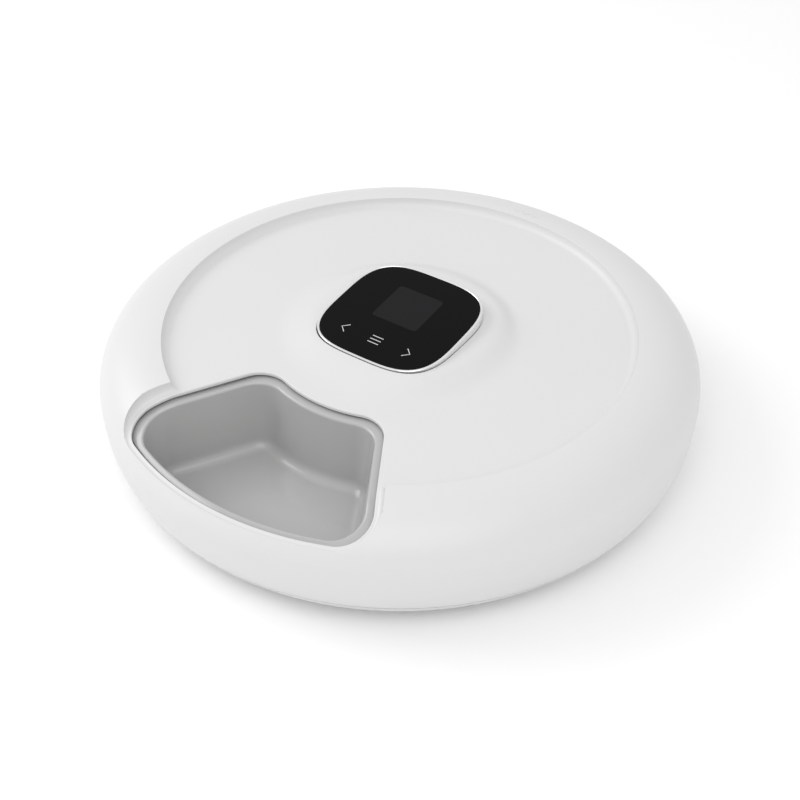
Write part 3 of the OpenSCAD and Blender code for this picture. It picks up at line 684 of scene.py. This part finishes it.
def ring_tree() -> Tree:
    """Tree that sets copies of a part round the Z axis and merges what meets."""
    tree = Tree("copies round an axis")
    part = tree.input("Part", "NodeSocketObject")
    count = tree.input("Count", "NodeSocketInt")
    radius = tree.input("Radius", "NodeSocketFloat")
    start = tree.input("Start", "NodeSocketFloat")
    material = tree.input("Material", "NodeSocketMaterial")
    source = tree.node("GeometryNodeObjectInfo", None, {"Object": part})
    line = tree.node("GeometryNodeMeshLine", None, {"Count": count, "Offset": (0.0, 0.0, 0.0)})
    index = tree.node("GeometryNodeInputIndex")
    step = tree.node("ShaderNodeMath", {"operation": "DIVIDE"}, {0: 2 * math.pi, 1: count})
    terms = {0: index.outputs[0], 1: step.outputs[0], 2: start}
    turn = tree.node("ShaderNodeMath", {"operation": "MULTIPLY_ADD"}, terms)
    arm = tree.node("ShaderNodeCombineXYZ", None, {"X": radius})
    swing = {"Vector": arm.outputs[0], "Angle": turn.outputs[0]}
    spin = tree.node("ShaderNodeVectorRotate", {"rotation_type": "Z_AXIS"}, swing)
    spots = {"Geometry": line.outputs[0], "Position": spin.outputs[0]}
    placed = tree.node("GeometryNodeSetPosition", None, spots)
    euler = tree.node("ShaderNodeCombineXYZ", None, {"Z": turn.outputs[0]})
    copies = tree.node(
        "GeometryNodeInstanceOnPoints",
        None,
        {"Points": placed.outputs[0], "Instance": source.outputs["Geometry"], "Rotation": euler.outputs[0]},
    )
    real = tree.node("GeometryNodeRealizeInstances", None, {0: copies.outputs[0]})
    joined = {"Geometry": real.outputs[0], "Distance": MERGE_MM * MM}
    merged = tree.node("GeometryNodeMergeByDistance", None, joined)
    return tree.finish(merged.outputs[0], material)


def stroke_tree() -> Tree:
    """Tree that runs a flat band with square ends along the lines that it is given."""
    tree = Tree("band along lines")
    width = tree.input("Width", "NodeSocketFloat")
    height = tree.input("Height", "NodeSocketFloat")
    material = tree.input("Material", "NodeSocketMaterial")
    curve = tree.node("GeometryNodeMeshToCurve", None, {"Mesh": tree.entry.outputs[0]})
    upright = tree.node("GeometryNodeSetCurveNormal", {"mode": "Z_UP"}, {"Curve": curve.outputs[0]})
    band = tree.node("GeometryNodeCurvePrimitiveQuadrilateral", None, {"Width": width, "Height": height})
    swept = tree.node(
        "GeometryNodeCurveToMesh",
        None,
        {"Curve": upright.outputs[0], "Profile Curve": band.outputs[0], "Fill Caps": True},
    )
    return tree.finish(swept.outputs[0], material)


# ---- the feeder ----


@dataclass(frozen=True)
class Body:
    """Sizes that the lid, base and tray share, in millimetres."""

    crest_r: float = 125.5
    crest_h: float = 66.0
    shoulder_w: float = 34.5
    belly_h: float = 42.0
    sole_r: float = 134.0
    sole_in: float = 26.0
    side_power: float = 2.54
    foot_h: float = 3.0
    seam_h: float = 16.0
    recess_h: float = 61.0
    wall: float = 2.0
    open_in_r: float = 72.7
    open_out_r: float = 153.6
    open_side: float = 1.0
    corner: float = 16.0
    edge_drop: float = 8.5
    half_turn: float = math.pi / 6

    def cap(self, r: Points) -> Points:
        """Height of the top before anything is cut into it, at radii r."""
        out = np.clip((r - self.crest_r) / self.shoulder_w, 0, 1)
        return self.belly_h + (self.crest_h - self.belly_h) * np.sqrt(1 - out * out)

    def under_cap(self, r: Points) -> Points:
        """Height of the inner side of that top."""
        out = np.clip((r - self.crest_r) / (self.shoulder_w - self.wall), 0, 1)
        return self.belly_h + (self.crest_h - self.wall - self.belly_h) * np.sqrt(1 - out * out)

    def ledge(self, r: Points) -> Points:
        """Height of the ledge round the opening."""
        out = np.clip((r - self.crest_r) / (self.open_out_r - self.crest_r), 0, None)
        return self.recess_h - self.edge_drop * out**1.5

    def side_r(self, z: float) -> float:
        """Radius of the side below its widest point."""
        part = min(1.0, (self.belly_h - z) / (self.belly_h - self.foot_h))
        return self.sole_r + self.sole_in * (1 - part**self.side_power) ** (1 / self.side_power)


@dataclass(frozen=True)
class Outline:
    """Outline of the serving opening, moved inwards by inset, with its own corner radius."""

    body: Body
    inset: float = 0.0
    corner: float = 16.0
    fine: bool = True

    def _mids(self) -> tuple[float, float, float, float, float]:
        """Inner and outer radius, side distance, and the angles of the corner middles from the side."""
        body = self.body
        r0, r1, side = body.open_in_r + self.inset, body.open_out_r - self.inset, body.open_side + self.inset
        far = math.asin((side + self.corner) / (r1 - self.corner))
        near = math.asin((side + self.corner) / (r0 + self.corner))
        return r0, r1, side, far, near

    def points(self, height: Callable[[Points], Points] | float = 0.0) -> Points:
        """The outline, anticlockwise seen from above, n by 3.

        Args:
            height: Height of all points, or a function of their radius.
        """
        r0, r1, side, far, near = self._mids()
        c = self.corner
        half = self.body.half_turn
        arc_n, corner_n, inner_n = (100, 22, 54) if self.fine else (48, 10, 26)
        right: list[tuple[float, float]] = []
        # From the front, anticlockwise: the outer arc, its corner, the side, a corner, the inner arc
        for a in np.linspace(0, half - far, arc_n // 2, endpoint=False):
            right.append((r1 * math.sin(a), -r1 * math.cos(a)))
        ray = np.array([math.sin(half), -math.cos(half)])
        out = np.array([math.cos(half), math.sin(half)])
        mid_far = np.array([math.sin(half - far), -math.cos(half - far)]) * (r1 - c)
        mid_near = np.array([math.sin(half - near), -math.cos(half - near)]) * (r0 + c)
        a_out = math.atan2(out[1], out[0])
        a_far = math.atan2(mid_far[1], mid_far[0])
        for a in np.linspace(a_far, a_out, corner_n, endpoint=False):
            right.append(tuple(mid_far + c * np.array([math.cos(a), math.sin(a)])))
        s_far, s_near = float(mid_far @ ray), float(mid_near @ ray)
        for s in self._side_steps(s_far, s_near):
            right.append(tuple(ray * s + out * (-side)))
        a_near = math.atan2(-mid_near[1], -mid_near[0])
        for a in np.linspace(a_out, a_near, corner_n, endpoint=False):
            right.append(tuple(mid_near + c * np.array([math.cos(a), math.sin(a)])))
        for a in np.linspace(half - near, 0, inner_n // 2, endpoint=False):
            right.append((r0 * math.sin(a), -r0 * math.cos(a)))
        left = [(-x, y) for x, y in right[1:]][::-1]
        flat = np.array(right + [(0.0, -r0)] + left)
        if callable(height):
            z = height(np.hypot(flat[:, 0], flat[:, 1]))
        else:
            z = np.full(len(flat), float(height))
        return np.column_stack([flat, z])

    def _side_steps(self, start: float, end: float) -> list[float]:
        """Places along the side, closer together where it crosses the crest."""
        crest = self.body.crest_r
        if not self.fine:
            return list(np.linspace(start, end, 24, endpoint=False))
        near_crest = list(np.linspace(crest + 1.5, crest - 5.5, 29))
        if self.inset > 3 or self.corner != self.body.corner + max(0.0, -self.inset):
            return list(np.linspace(start, end, 64, endpoint=False))
        outer = list(np.linspace(start, crest + 1.5, 8, endpoint=False))
        return outer + near_crest + list(np.linspace(crest - 6.6, end, 27, endpoint=False))

    def gap(self, xy: Points) -> Points:
        """Distance of points outside the outline, negative inside it."""
        r0, r1, side, far, near = self._mids()
        c = self.corner
        half = self.body.half_turn
        x, y = np.abs(xy[:, 0]), xy[:, 1]
        rho = np.hypot(x, y)
        h = -x * math.cos(half) - y * math.sin(half)
        along = x * math.sin(half) - y * math.cos(half)
        low, high, keep = r0 + c, r1 - c, side + c
        best = np.full(len(x), np.inf)
        for radius in (low, high):
            ok = h * radius / np.maximum(rho, 1e-9) >= keep
            best = np.where(ok, np.minimum(best, np.abs(rho - radius)), best)
        start, end = math.sqrt(low * low - keep * keep), math.sqrt(high * high - keep * keep)
        ok = (along >= start) & (along <= end)
        best = np.where(ok, np.minimum(best, np.abs(h - keep)), best)
        for s in (start, end):
            best = np.minimum(best, np.hypot(along - s, h - keep))
        inside = (rho >= low) & (rho <= high) & (h >= keep)
        return np.where(inside, -best, best) - c


@dataclass(frozen=True)
class Squircle:
    """Square with evenly swelling sides, seen square to its tilted face."""

    half: float
    power: float = 3.5

    def radius(self, angle: Points) -> Points:
        """Distance from the middle to the outline in each direction."""
        c, s = np.abs(np.cos(angle)), np.abs(np.sin(angle))
        return self.half / (c**self.power + s**self.power) ** (1 / self.power)

    def points(self, count: int, z: float, grow: float = 0.0) -> Points:
        """The outline moved outwards by grow, at height z, n by 3."""
        angle = np.arange(count) * (2 * math.pi / count)
        radius = self.radius(angle)
        flat = np.column_stack([radius * np.cos(angle), radius * np.sin(angle)])
        along = np.roll(flat, -1, axis=0) - np.roll(flat, 1, axis=0)
        normal = np.column_stack([along[:, 1], -along[:, 0]])
        normal /= np.linalg.norm(normal, axis=1)[:, None]
        return np.column_stack([flat + normal * grow, np.full(count, z)])


@dataclass(frozen=True)
class Tilt:
    """The tilted face of the control panel."""

    height: float = 69.5
    degrees: float = 4.7

    def lift(self, points: Points) -> Points:
        """Moves points from the panel's own axes to the feeder's."""
        a = math.radians(self.degrees)
        x, y, z = points[:, 0], points[:, 1], points[:, 2]
        return np.column_stack(
            [x, y * math.cos(a) - z * math.sin(a), y * math.sin(a) + z * math.cos(a) + self.height]
        )

    def plane(self, y: Points) -> Points:
        """Height of the tilted face above y."""
        return self.height + y * math.tan(math.radians(self.degrees))


@dataclass(frozen=True)
class Lid:
    """Lift-off lid: crest, recess, ledge round the opening, and the mound round the panel."""

    body: Body
    tilt: Tilt
    hole_half: float = 38.4
    mound_drop: float = 0.12
    mound_foot_r: float = 62.0
    mound_blend: float = 1.6
    edge: float = 0.8
    hole_edge: float = 0.5
    under_edge: float = 0.3
    foot_w: float = 4.0
    foot_h: float = 5.6
    foot_out: float = 4.1
    foot_blend: float = 0.45
    pocket_start: float = 1.2
    pocket_w: float = 3.2
    pocket_h: float = 6.5
    pocket_blend: float = 0.35
    join_in: float = 2.1
    segments: int = 480
    hole_segments: int = 288

    def mound(self, xy: Points) -> Points:
        """Height of the mound's flank, unbounded below."""
        angle = np.arctan2(xy[:, 1], xy[:, 0])
        rho = np.hypot(xy[:, 0], xy[:, 1])
        start = Squircle(self.hole_half).radius(angle)
        edge_y = start * np.sin(angle)
        high = self.tilt.plane(edge_y) - self.mound_drop - self.body.recess_h
        fall = (rho - start) / (self.mound_foot_r - start)
        return self.body.recess_h + high * (1 - fall)

    def top(self, xy: Points) -> Points:
        """Height of the upper side."""
        body = self.body
        r = np.hypot(xy[:, 0], xy[:, 1])
        gap = Outline(body).gap(xy)
        recess = soft_max(np.full(len(r), body.recess_h), self.mound(xy), self.mound_blend)
        inwards = np.clip(r - (body.crest_r - self.foot_out), 0, None)
        recess = recess + cove(inwards, self.foot_w, self.foot_h)
        pocket = body.ledge(r) + cove(np.clip(gap - self.pocket_start, 0, None), self.pocket_w, self.pocket_h)
        pocket = np.where(gap < 30, pocket, FAR)
        height = soft_min(body.cap(r), recess, self.foot_blend)
        height = soft_min(height, pocket, self.pocket_blend)
        # Two equal heights come out a quarter of the blend too low, so the flat recess is lifted again
        level = (r < body.crest_r - 5) & (gap < self.pocket_start)
        height = height + self.pocket_blend * 0.25 * level
        return height - edge_fall(gap, self.edge) - edge_fall(self.hole_gap(xy), self.hole_edge)

    def hole_gap(self, xy: Points) -> Points:
        """Distance of points outside the panel's hole, along the ray from the axis."""
        angle = np.arctan2(xy[:, 1], xy[:, 0])
        return np.hypot(xy[:, 0], xy[:, 1]) - Squircle(self.hole_half).radius(angle)

    def under(self, xy: Points) -> Points:
        """Height of the lower side."""
        body = self.body
        r = np.hypot(xy[:, 0], xy[:, 1])
        gap = Outline(body).gap(xy)
        flat = soft_max(np.full(len(r), body.recess_h), self.mound(xy), self.mound_blend) - body.wall
        flat = np.where(r > body.crest_r, FAR, flat)
        cap = body.under_cap(r)
        pocket = np.where(gap < 4 + body.wall, body.ledge(r) - body.wall, FAR)
        height = np.minimum(np.minimum(cap, flat), pocket)
        return height + edge_fall(gap, self.under_edge) + edge_fall(self.hole_gap(xy), self.under_edge)

    def join_r(self) -> float:
        """Radius where the net of the top ends and the side's rings start."""
        return self.body.crest_r + self.body.shoulder_w - self.join_in

    def round_points(self) -> list[Points]:
        """Rings of points round the axis, close together at the foot of the crest."""
        body, join = self.body, self.join_r()
        wall = [self.foot_w * math.sin(math.radians(a)) for a in range(0, 90, 10)]
        wall += [3.985, 4.03, 4.1, 4.25, 4.5, 5.0]
        fine = [body.crest_r - self.foot_out + step for step in wall]
        cap = body.crest_r + (join - body.crest_r) * np.sin(np.linspace(0.05, math.pi / 2, 19))
        rings = [(r, 120) for r in np.arange(70, 119, 6.0)] + [(119.8, 240), (120.8, 480)]
        rings += [(r, self.segments) for r in fine] + [(r, self.segments) for r in cap]
        outline = Outline(body)
        kept = []
        for r, count in rings:
            angle = np.arange(count) * (2 * math.pi / count)
            ring = np.column_stack([r * np.cos(angle), r * np.sin(angle)])
            if r < join - 0.01:
                ring = ring[outline.gap(ring) > (5.3 if r < body.crest_r else 4.9)]
            kept.append(ring)
        return kept

    def mound_points(self) -> list[Points]:
        """Outlines of points from the hole's edge to the foot of the mound, the hole's own first."""
        angle = np.arange(self.hole_segments) * (2 * math.pi / self.hole_segments)
        around = np.column_stack([np.cos(angle), np.sin(angle)])
        start = Squircle(self.hole_half).radius(angle)
        kept = [around * (start + step)[:, None] for step in (0.0, 0.08, 0.2, 0.36, 0.5, 0.8)]
        for share in (0.12, 0.25, 0.4, 0.55, 0.7, 0.8, 0.87, 0.94, 1.0, 1.06, 1.12, 1.2):
            r = np.minimum(start + 0.8 + (self.mound_foot_r - start) * share, 66.5)
            kept.append((around * r[:, None])[r < 66.4])
        return kept

    def opening_points(self) -> list[Points]:
        """Outlines of points round the opening, the opening's own first."""
        start, width = self.pocket_start, self.pocket_w
        steps = [0.0, 0.1, 0.25, 0.42, 0.6, 0.8, start]
        steps += [start + width * math.sin(math.radians(a)) for a in (12, 24, 36, 47, 57, 66, 74, 80, 85, 88)]
        steps += [4.42, 4.5, 4.65]
        kept = []
        for grow in steps:
            loop = Outline(self.body, -grow, self.body.corner + grow).points()[:, :2]
            inside = np.hypot(loop[:, 0], loop[:, 1]) < self.join_r() - 0.35
            kept.append(loop if grow == 0.0 else loop[inside])
        return kept

    def net(self) -> Net:
        """Triangles over the whole top, with the opening and the hole left out."""
        outline = Outline(self.body)
        mound, opening = self.mound_points(), self.opening_points()
        loose = np.vstack(self.round_points() + mound[1:] + opening[1:])

        def gone(middles: Points) -> Points:
            """Whether each triangle's middle lies in the opening or in the hole."""
            return (outline.gap(middles) < 0) | (self.hole_gap(middles) < 0)

        return Net(loose, [mound[0], opening[0]], gone)

    def side(self, rim: Points) -> list[Points]:
        """Rings from the top's outer rim down the outside, round the lower edge and up the inside."""
        body, join = self.body, self.join_r()
        path: list[tuple[float, float]] = []
        start = math.asin((join - body.crest_r) / body.shoulder_w)
        for a in np.linspace(start, math.pi / 2, 9)[1:]:
            height = body.belly_h + (body.crest_h - body.belly_h) * math.cos(a)
            path.append((body.crest_r + body.shoulder_w * math.sin(a), height))
        low = body.seam_h + 0.5
        path += [(body.side_r(z), z) for z in np.linspace(body.belly_h - 1.2, low, 22)]
        edge = body.side_r(low)
        path += [(edge - 0.33, low - 0.33), (edge - 0.65, body.seam_h)]
        path += [(edge - body.wall + 0.1, body.seam_h), (edge - body.wall, low)]
        path += [(body.side_r(z) - body.wall, z) for z in np.linspace(low + 1, body.belly_h - 1, 9)]
        angle = np.arctan2(rim[:, 1], rim[:, 0])
        around = np.column_stack([np.cos(angle), np.sin(angle)])
        return [np.column_stack([r * around, np.full(len(rim), z)]) for r, z in path]

    def build(self) -> bpy.types.Object:
        """Makes the lid."""
        net = self.net()
        top, under = self.top(net.xy), self.under(net.xy)
        points, faces = net.shell(top, np.minimum(under, top - 0.6), self.side, self.join_r() - 0.05)
        piece = new_object("feeder_lid", points, faces)
        seal(piece)
        crisp(piece, 50)
        hand_over(piece, Tag("feeder_lid", "lid", "white_shell", WHITE, ("lid",)))
        return piece


@dataclass(frozen=True)
class FoodBowls:
    """Ring of six lift-out bowls, each a moulding with a flange, drafted walls and a skirt."""

    body: Body
    count: int = 6
    flange_in_r: float = 67.5
    flange_out_r: float = 152.6
    gap: float = 0.3
    below_ledge: float = 3.0
    lip: float = 4.5
    rim_round: float = 1.5
    wall_in: float = 4.6
    corner: float = 19.0
    floor_h: float = 20.0
    knee: float = 6.3
    wall: float = 2.0
    rim_t: float = 1.6
    rim_down: float = 6.0

    def loop(self, inset: float, share: float, drop: float = 0.0, floor: float | None = None) -> Points:
        """Outline of the well moved inwards by inset.

        Args:
            inset: Distance inside the lid's opening.
            share: Part of the height between the floor and the land.
            drop: Taken off the height.
            floor: Height of the floor, or None for the inside's floor.
        """
        base = self.floor_h if floor is None else floor
        corner = max(self.corner - inset, 3.0)
        outline = Outline(self.body, inset, corner)
        return outline.points(lambda r: base + (self.land(r) - base) * share - drop)

    def land(self, r: Points) -> Points:
        """Height of the flange."""
        return self.body.ledge(r) - self.below_ledge

    def flange(self, drop: float, shrink: float = 0.0) -> Points:
        """Outline of the flange, drop below its top."""
        edge = Body(open_in_r=self.flange_in_r, open_out_r=self.flange_out_r, open_side=self.gap)
        return Outline(edge, shrink, 2.0).points(lambda r: self.land(r) - drop)

    def inside(self) -> list[Points]:
        """Loops from the rim down the inside of the well to its floor."""
        rim = [self.loop(self.lip - self.rim_round - 0.4, 1.0)]
        for a in np.linspace(0, math.pi / 2, 7):
            inset = self.lip - self.rim_round * (1 - math.sin(a))
            rim.append(self.loop(inset, 1.0, self.rim_round * (1 - math.cos(a))))
        foot = self.lip + self.wall_in
        knee = self.knee / (self.land(np.array([100.0]))[0] - self.floor_h)
        for part in np.linspace(0, 1, 6)[1:]:
            inset = self.lip + self.wall_in * part
            rim.append(self.loop(inset, 1 + (knee - 1) * part, self.rim_round * (1 - part)))
        for a in np.linspace(0, math.pi / 2, 9)[1:]:
            reach = self.knee * (1 - math.cos(a))
            rim.append(self.loop(foot + reach, knee * (1 - math.sin(a))))
        rim.append(self.loop(foot + self.knee + 0.6, 0.0))
        return rim

    def outside(self) -> list[Points]:
        """Loops from under the flange down the outside of the well to its underside."""
        out = self.lip - self.wall
        floor = self.floor_h - self.wall
        return [
            self.loop(out, 1.0, self.wall),
            self.loop(out + self.wall_in, 0.16, 0.0, floor),
            self.loop(out + self.wall_in + 2.0, 0.06, 0.0, floor),
            self.loop(out + self.wall_in + self.knee, 0.0, 0.0, floor),
        ]

    def build(self) -> bpy.types.Object:
        """Makes one bowl and sets six of them round the axis."""
        loops = self.outside()[::-1]
        loops += [self.flange(self.wall, self.rim_t), self.flange(self.rim_down, self.rim_t)]
        loops += [self.flange(self.rim_down), self.flange(0.4)]
        loops += [self.flange(0.12, 0.12), self.flange(0.0, 0.4)]
        loops += self.inside()
        points, faces = loft(loops)
        one = new_object("one_bowl", points, faces)
        seal(one, 0.001)
        tree = ring_tree()
        values = {"Part": one, "Count": self.count, "Radius": 0.0, "Start": 0.0, "Material": GREY.material()}
        ring = tree.run("food_bowls", bpy.data.meshes.new("ring_start"), values)
        bpy.data.objects.remove(one)
        crisp(ring, 35)
        stands_for = tuple(f"food_bowl_{i + 1}" for i in range(self.count))
        hand_over(ring, Tag("food_bowls", "tray", "grey_tray", GREY, stands_for))
        return ring


class KeyMark(Enum):
    """Marks on the three touch keys: the place across the panel and the strokes."""

    BACK = (-20.0, (((1.8, 3.1), (-1.5, 0.0), (1.8, -3.1)),))
    MENU = (0.0, (((-3.3, 2.5), (3.3, 2.5)), ((-3.3, 0.0), (3.3, 0.0)), ((-3.3, -2.5), (3.3, -2.5))))
    NEXT = (20.0, (((-1.8, 3.1), (1.5, 0.0), (-1.8, -3.1)),))


@dataclass(frozen=True)
class ControlPanel:
    """Glossy tilted panel with its bright frame, screen and key marks."""

    tilt: Tilt
    half: float = 37.0
    thick: float = 2.2
    edge: float = 0.5
    frame_w: float = 1.25
    frame_deep: float = 6.0
    frame_rise: float = 0.2
    screen_half: float = 14.0
    screen_y: float = 7.4
    key_y: float = -22.5
    mark_w: float = 0.52
    steps: int = 144

    def _skin(self, loops: list[Points], tag: Tag, close: bool = False) -> None:
        """Skins loops given in the panel's own axes and hands the piece over."""
        points, faces = loft([self.tilt.lift(loop) for loop in loops], close=close)
        piece = new_object(tag.name, points, faces)
        seal(piece)
        crisp(piece, 40)
        hand_over(piece, tag)

    def build(self) -> None:
        """Makes the glass, the frame, the screen and the marks."""
        shape = Squircle(self.half)
        glass = [shape.points(self.steps, -self.thick)]
        for a in np.linspace(0, math.pi / 2, 6):
            down, inwards = self.edge * (1 - math.sin(a)), self.edge * (1 - math.cos(a))
            glass.append(shape.points(self.steps, -down, -inwards))
        glass.append(shape.points(self.steps, 0.0, -2 * self.edge))
        tag = Tag("panel_glass", "base", "panel_black", BLACK_GLASS, ("control_panel",))
        self._skin(glass, tag)
        inner, outer = 0.06, self.frame_w
        path = [(inner, -self.frame_deep), (outer, -self.frame_deep), (outer, self.frame_rise - 0.3)]
        path += [(outer - 0.3, self.frame_rise), (inner + 0.25, self.frame_rise)]
        path += [(inner, self.frame_rise - 0.25)]
        ring = [shape.points(self.steps, z, grow) for grow, z in path]
        self._skin(ring, Tag("panel_rim", "base", "frame_bright", BRIGHT, ("panel_frame",)), True)
        screen = Squircle(self.screen_half, 18.0)
        loops = [screen.points(self.steps, z) + [0, self.screen_y, 0] for z in (-0.3, 0.05)]
        self._skin(loops, Tag("panel_screen", "base", "display_dark", SCREEN, ()))
        self._marks()

    def _marks(self) -> None:
        """Draws the key marks as bands on the glass."""
        verts: list[tuple[float, float, float]] = []
        edges: list[tuple[int, int]] = []
        for mark in KeyMark:
            across, strokes = mark.value
            for stroke in strokes:
                start = len(verts)
                verts += [((across + x) * MM, (self.key_y + y) * MM, 0.03 * MM) for x, y in stroke]
                edges += [(start + i, start + i + 1) for i in range(len(stroke) - 1)]
        lines = bpy.data.meshes.new("key_lines")
        lines.from_pydata(verts, edges, [])
        values = {"Width": self.mark_w * MM, "Height": 0.08 * MM, "Material": PRINT.material()}
        marks = stroke_tree().run("key_marks", lines, values)
        count = len(marks.data.vertices)
        flat = np.empty(count * 3)
        marks.data.vertices.foreach_get("co", flat)
        lifted = self.tilt.lift(flat.reshape(-1, 3) / MM) * MM
        marks.data.vertices.foreach_set("co", lifted.ravel())
        marks.data.update()
        seal(marks)
        hand_over(marks, Tag("key_marks", "base", "panel_black", PRINT, ()))


@dataclass(frozen=True)
class RearMark:
    """Small moulded mark behind the crest: two dashes with a curved pointer between them."""

    body: Body
    radius: float = 131.0
    width: float = 0.7
    rise: float = 0.35

    def build(self) -> None:
        """Lays the strokes on the lid's shoulder."""
        strokes = [
            [(-7.5 + i * 0.6, 0.0) for i in range(6)],
            [(4.5 + i * 0.6, 0.0) for i in range(6)],
            [(-2.4 + i * 0.48, 2.2 * abs(i - 5) / 5 - 1.1) for i in range(11)],
        ]
        verts: list[tuple[float, float, float]] = []
        edges: list[tuple[int, int]] = []
        for stroke in strokes:
            start = len(verts)
            for across, out in stroke:
                r = self.radius + out
                angle = math.pi / 2 - across / self.radius
                x, y = r * math.cos(angle), r * math.sin(angle)
                z = float(self.body.cap(np.array([r]))[0])
                verts.append((x * MM, y * MM, (z + self.rise * 0.1) * MM))
            edges += [(start + i, start + i + 1) for i in range(len(stroke) - 1)]
        lines = bpy.data.meshes.new("mark_lines")
        lines.from_pydata(verts, edges, [])
        values = {"Width": self.width * MM, "Height": self.rise * MM, "Material": WHITE.material()}
        mark = stroke_tree().run("opening_mark", lines, values)
        seal(mark)
        hand_over(mark, Tag("opening_mark", "lid", "white_shell", WHITE, ()))


def dress_frame_nodes() -> None:
    """Gives every node that is still shown the finish of its slot."""
    slots = {row["node"]: row["material_slot"] for row in frame["record"]["subparts"]}
    for name, node in frame["nodes"].items():
        if node.hide_render:
            continue
        finish = SLOT_FINISH[slots[name]].material()
        node.data.materials.clear()
        node.data.materials.append(finish)


@dataclass(frozen=True)
class Studio:
    """Pale floor, soft lights and the camera."""

    floor_tone: float = 0.97
    world_tone: float = 0.8
    key_power: float = 8.0
    fill_power: float = 7.0

    def floor(self) -> None:
        """Lays a large pale floor."""
        reach = 6000.0
        low = -0.05
        turns = ((-1, -1), (1, -1), (1, 1), (-1, 1))
        corners = np.array([[x * reach, y * reach, low] for x, y in turns])
        ground = new_object("studio_floor", corners, [[0, 1, 2, 3]])
        paper = bpy.data.materials.new("floor_paper")
        paper.use_nodes = True
        surface = paper.node_tree.nodes["Principled BSDF"]
        surface.inputs["Base Color"].default_value = (self.floor_tone,) * 3 + (1.0,)
        surface.inputs["Roughness"].default_value = 0.9
        surface.inputs["Specular IOR Level"].default_value = 0.1
        ground.data.materials.append(paper)

    def lamp(self, name: str, place: tuple[float, float, float], size: float, power: float) -> None:
        """Hangs a square soft light that faces the feeder."""
        light = bpy.data.lights.new(name, "AREA")
        light.shape = "SQUARE"
        light.size = size
        light.energy = power
        holder = bpy.data.objects.new(name, light)
        holder.location = place
        aim = Vector((0.0, 0.0, 0.04)) - Vector(place)
        holder.rotation_euler = aim.to_track_quat("-Z", "Y").to_euler()
        bpy.context.scene.collection.objects.link(holder)

    def camera(self) -> None:
        """Sets the camera."""
        lens = bpy.data.cameras.new("main_camera")
        lens.lens = 58.51
        lens.sensor_width = 36.0
        lens.clip_start = 0.01
        holder = bpy.data.objects.new("main_camera", lens)
        holder.location = (0.3147, -0.4576, 0.4750)
        holder.rotation_euler = (math.radians(50.17), 0.0, math.radians(34.52))
        bpy.context.scene.collection.objects.link(holder)
        bpy.context.scene.camera = holder

    def build(self) -> None:
        """Sets up floor, lights, world and camera."""
        self.floor()
        self.lamp("key_light", (-1.25, -0.35, 1.0), 1.0, self.key_power)
        self.lamp("fill_light", (0.55, -0.8, 1.4), 1.3, self.fill_power)
        world = bpy.data.worlds.new("studio_air")
        world.use_nodes = True
        world.node_tree.nodes["Background"].inputs["Color"].default_value = (self.world_tone,) * 3 + (1.0,)
        bpy.context.scene.world = world
        bpy.context.scene.view_settings.view_transform = "Standard"
        self.camera()


def main() -> None:
    """Builds the feeder's visible pieces in order, then the studio."""
    logging.basicConfig(level=logging.INFO, format="%(name)s %(message)s")
    body, tilt = Body(), Tilt()
    Lid(body, tilt).build()
    FoodBowls(body).build()
    ControlPanel(tilt).build()
    RearMark(body).build()
    dress_frame_nodes()
    Studio().build()


if __name__ == "__main__":
    main()
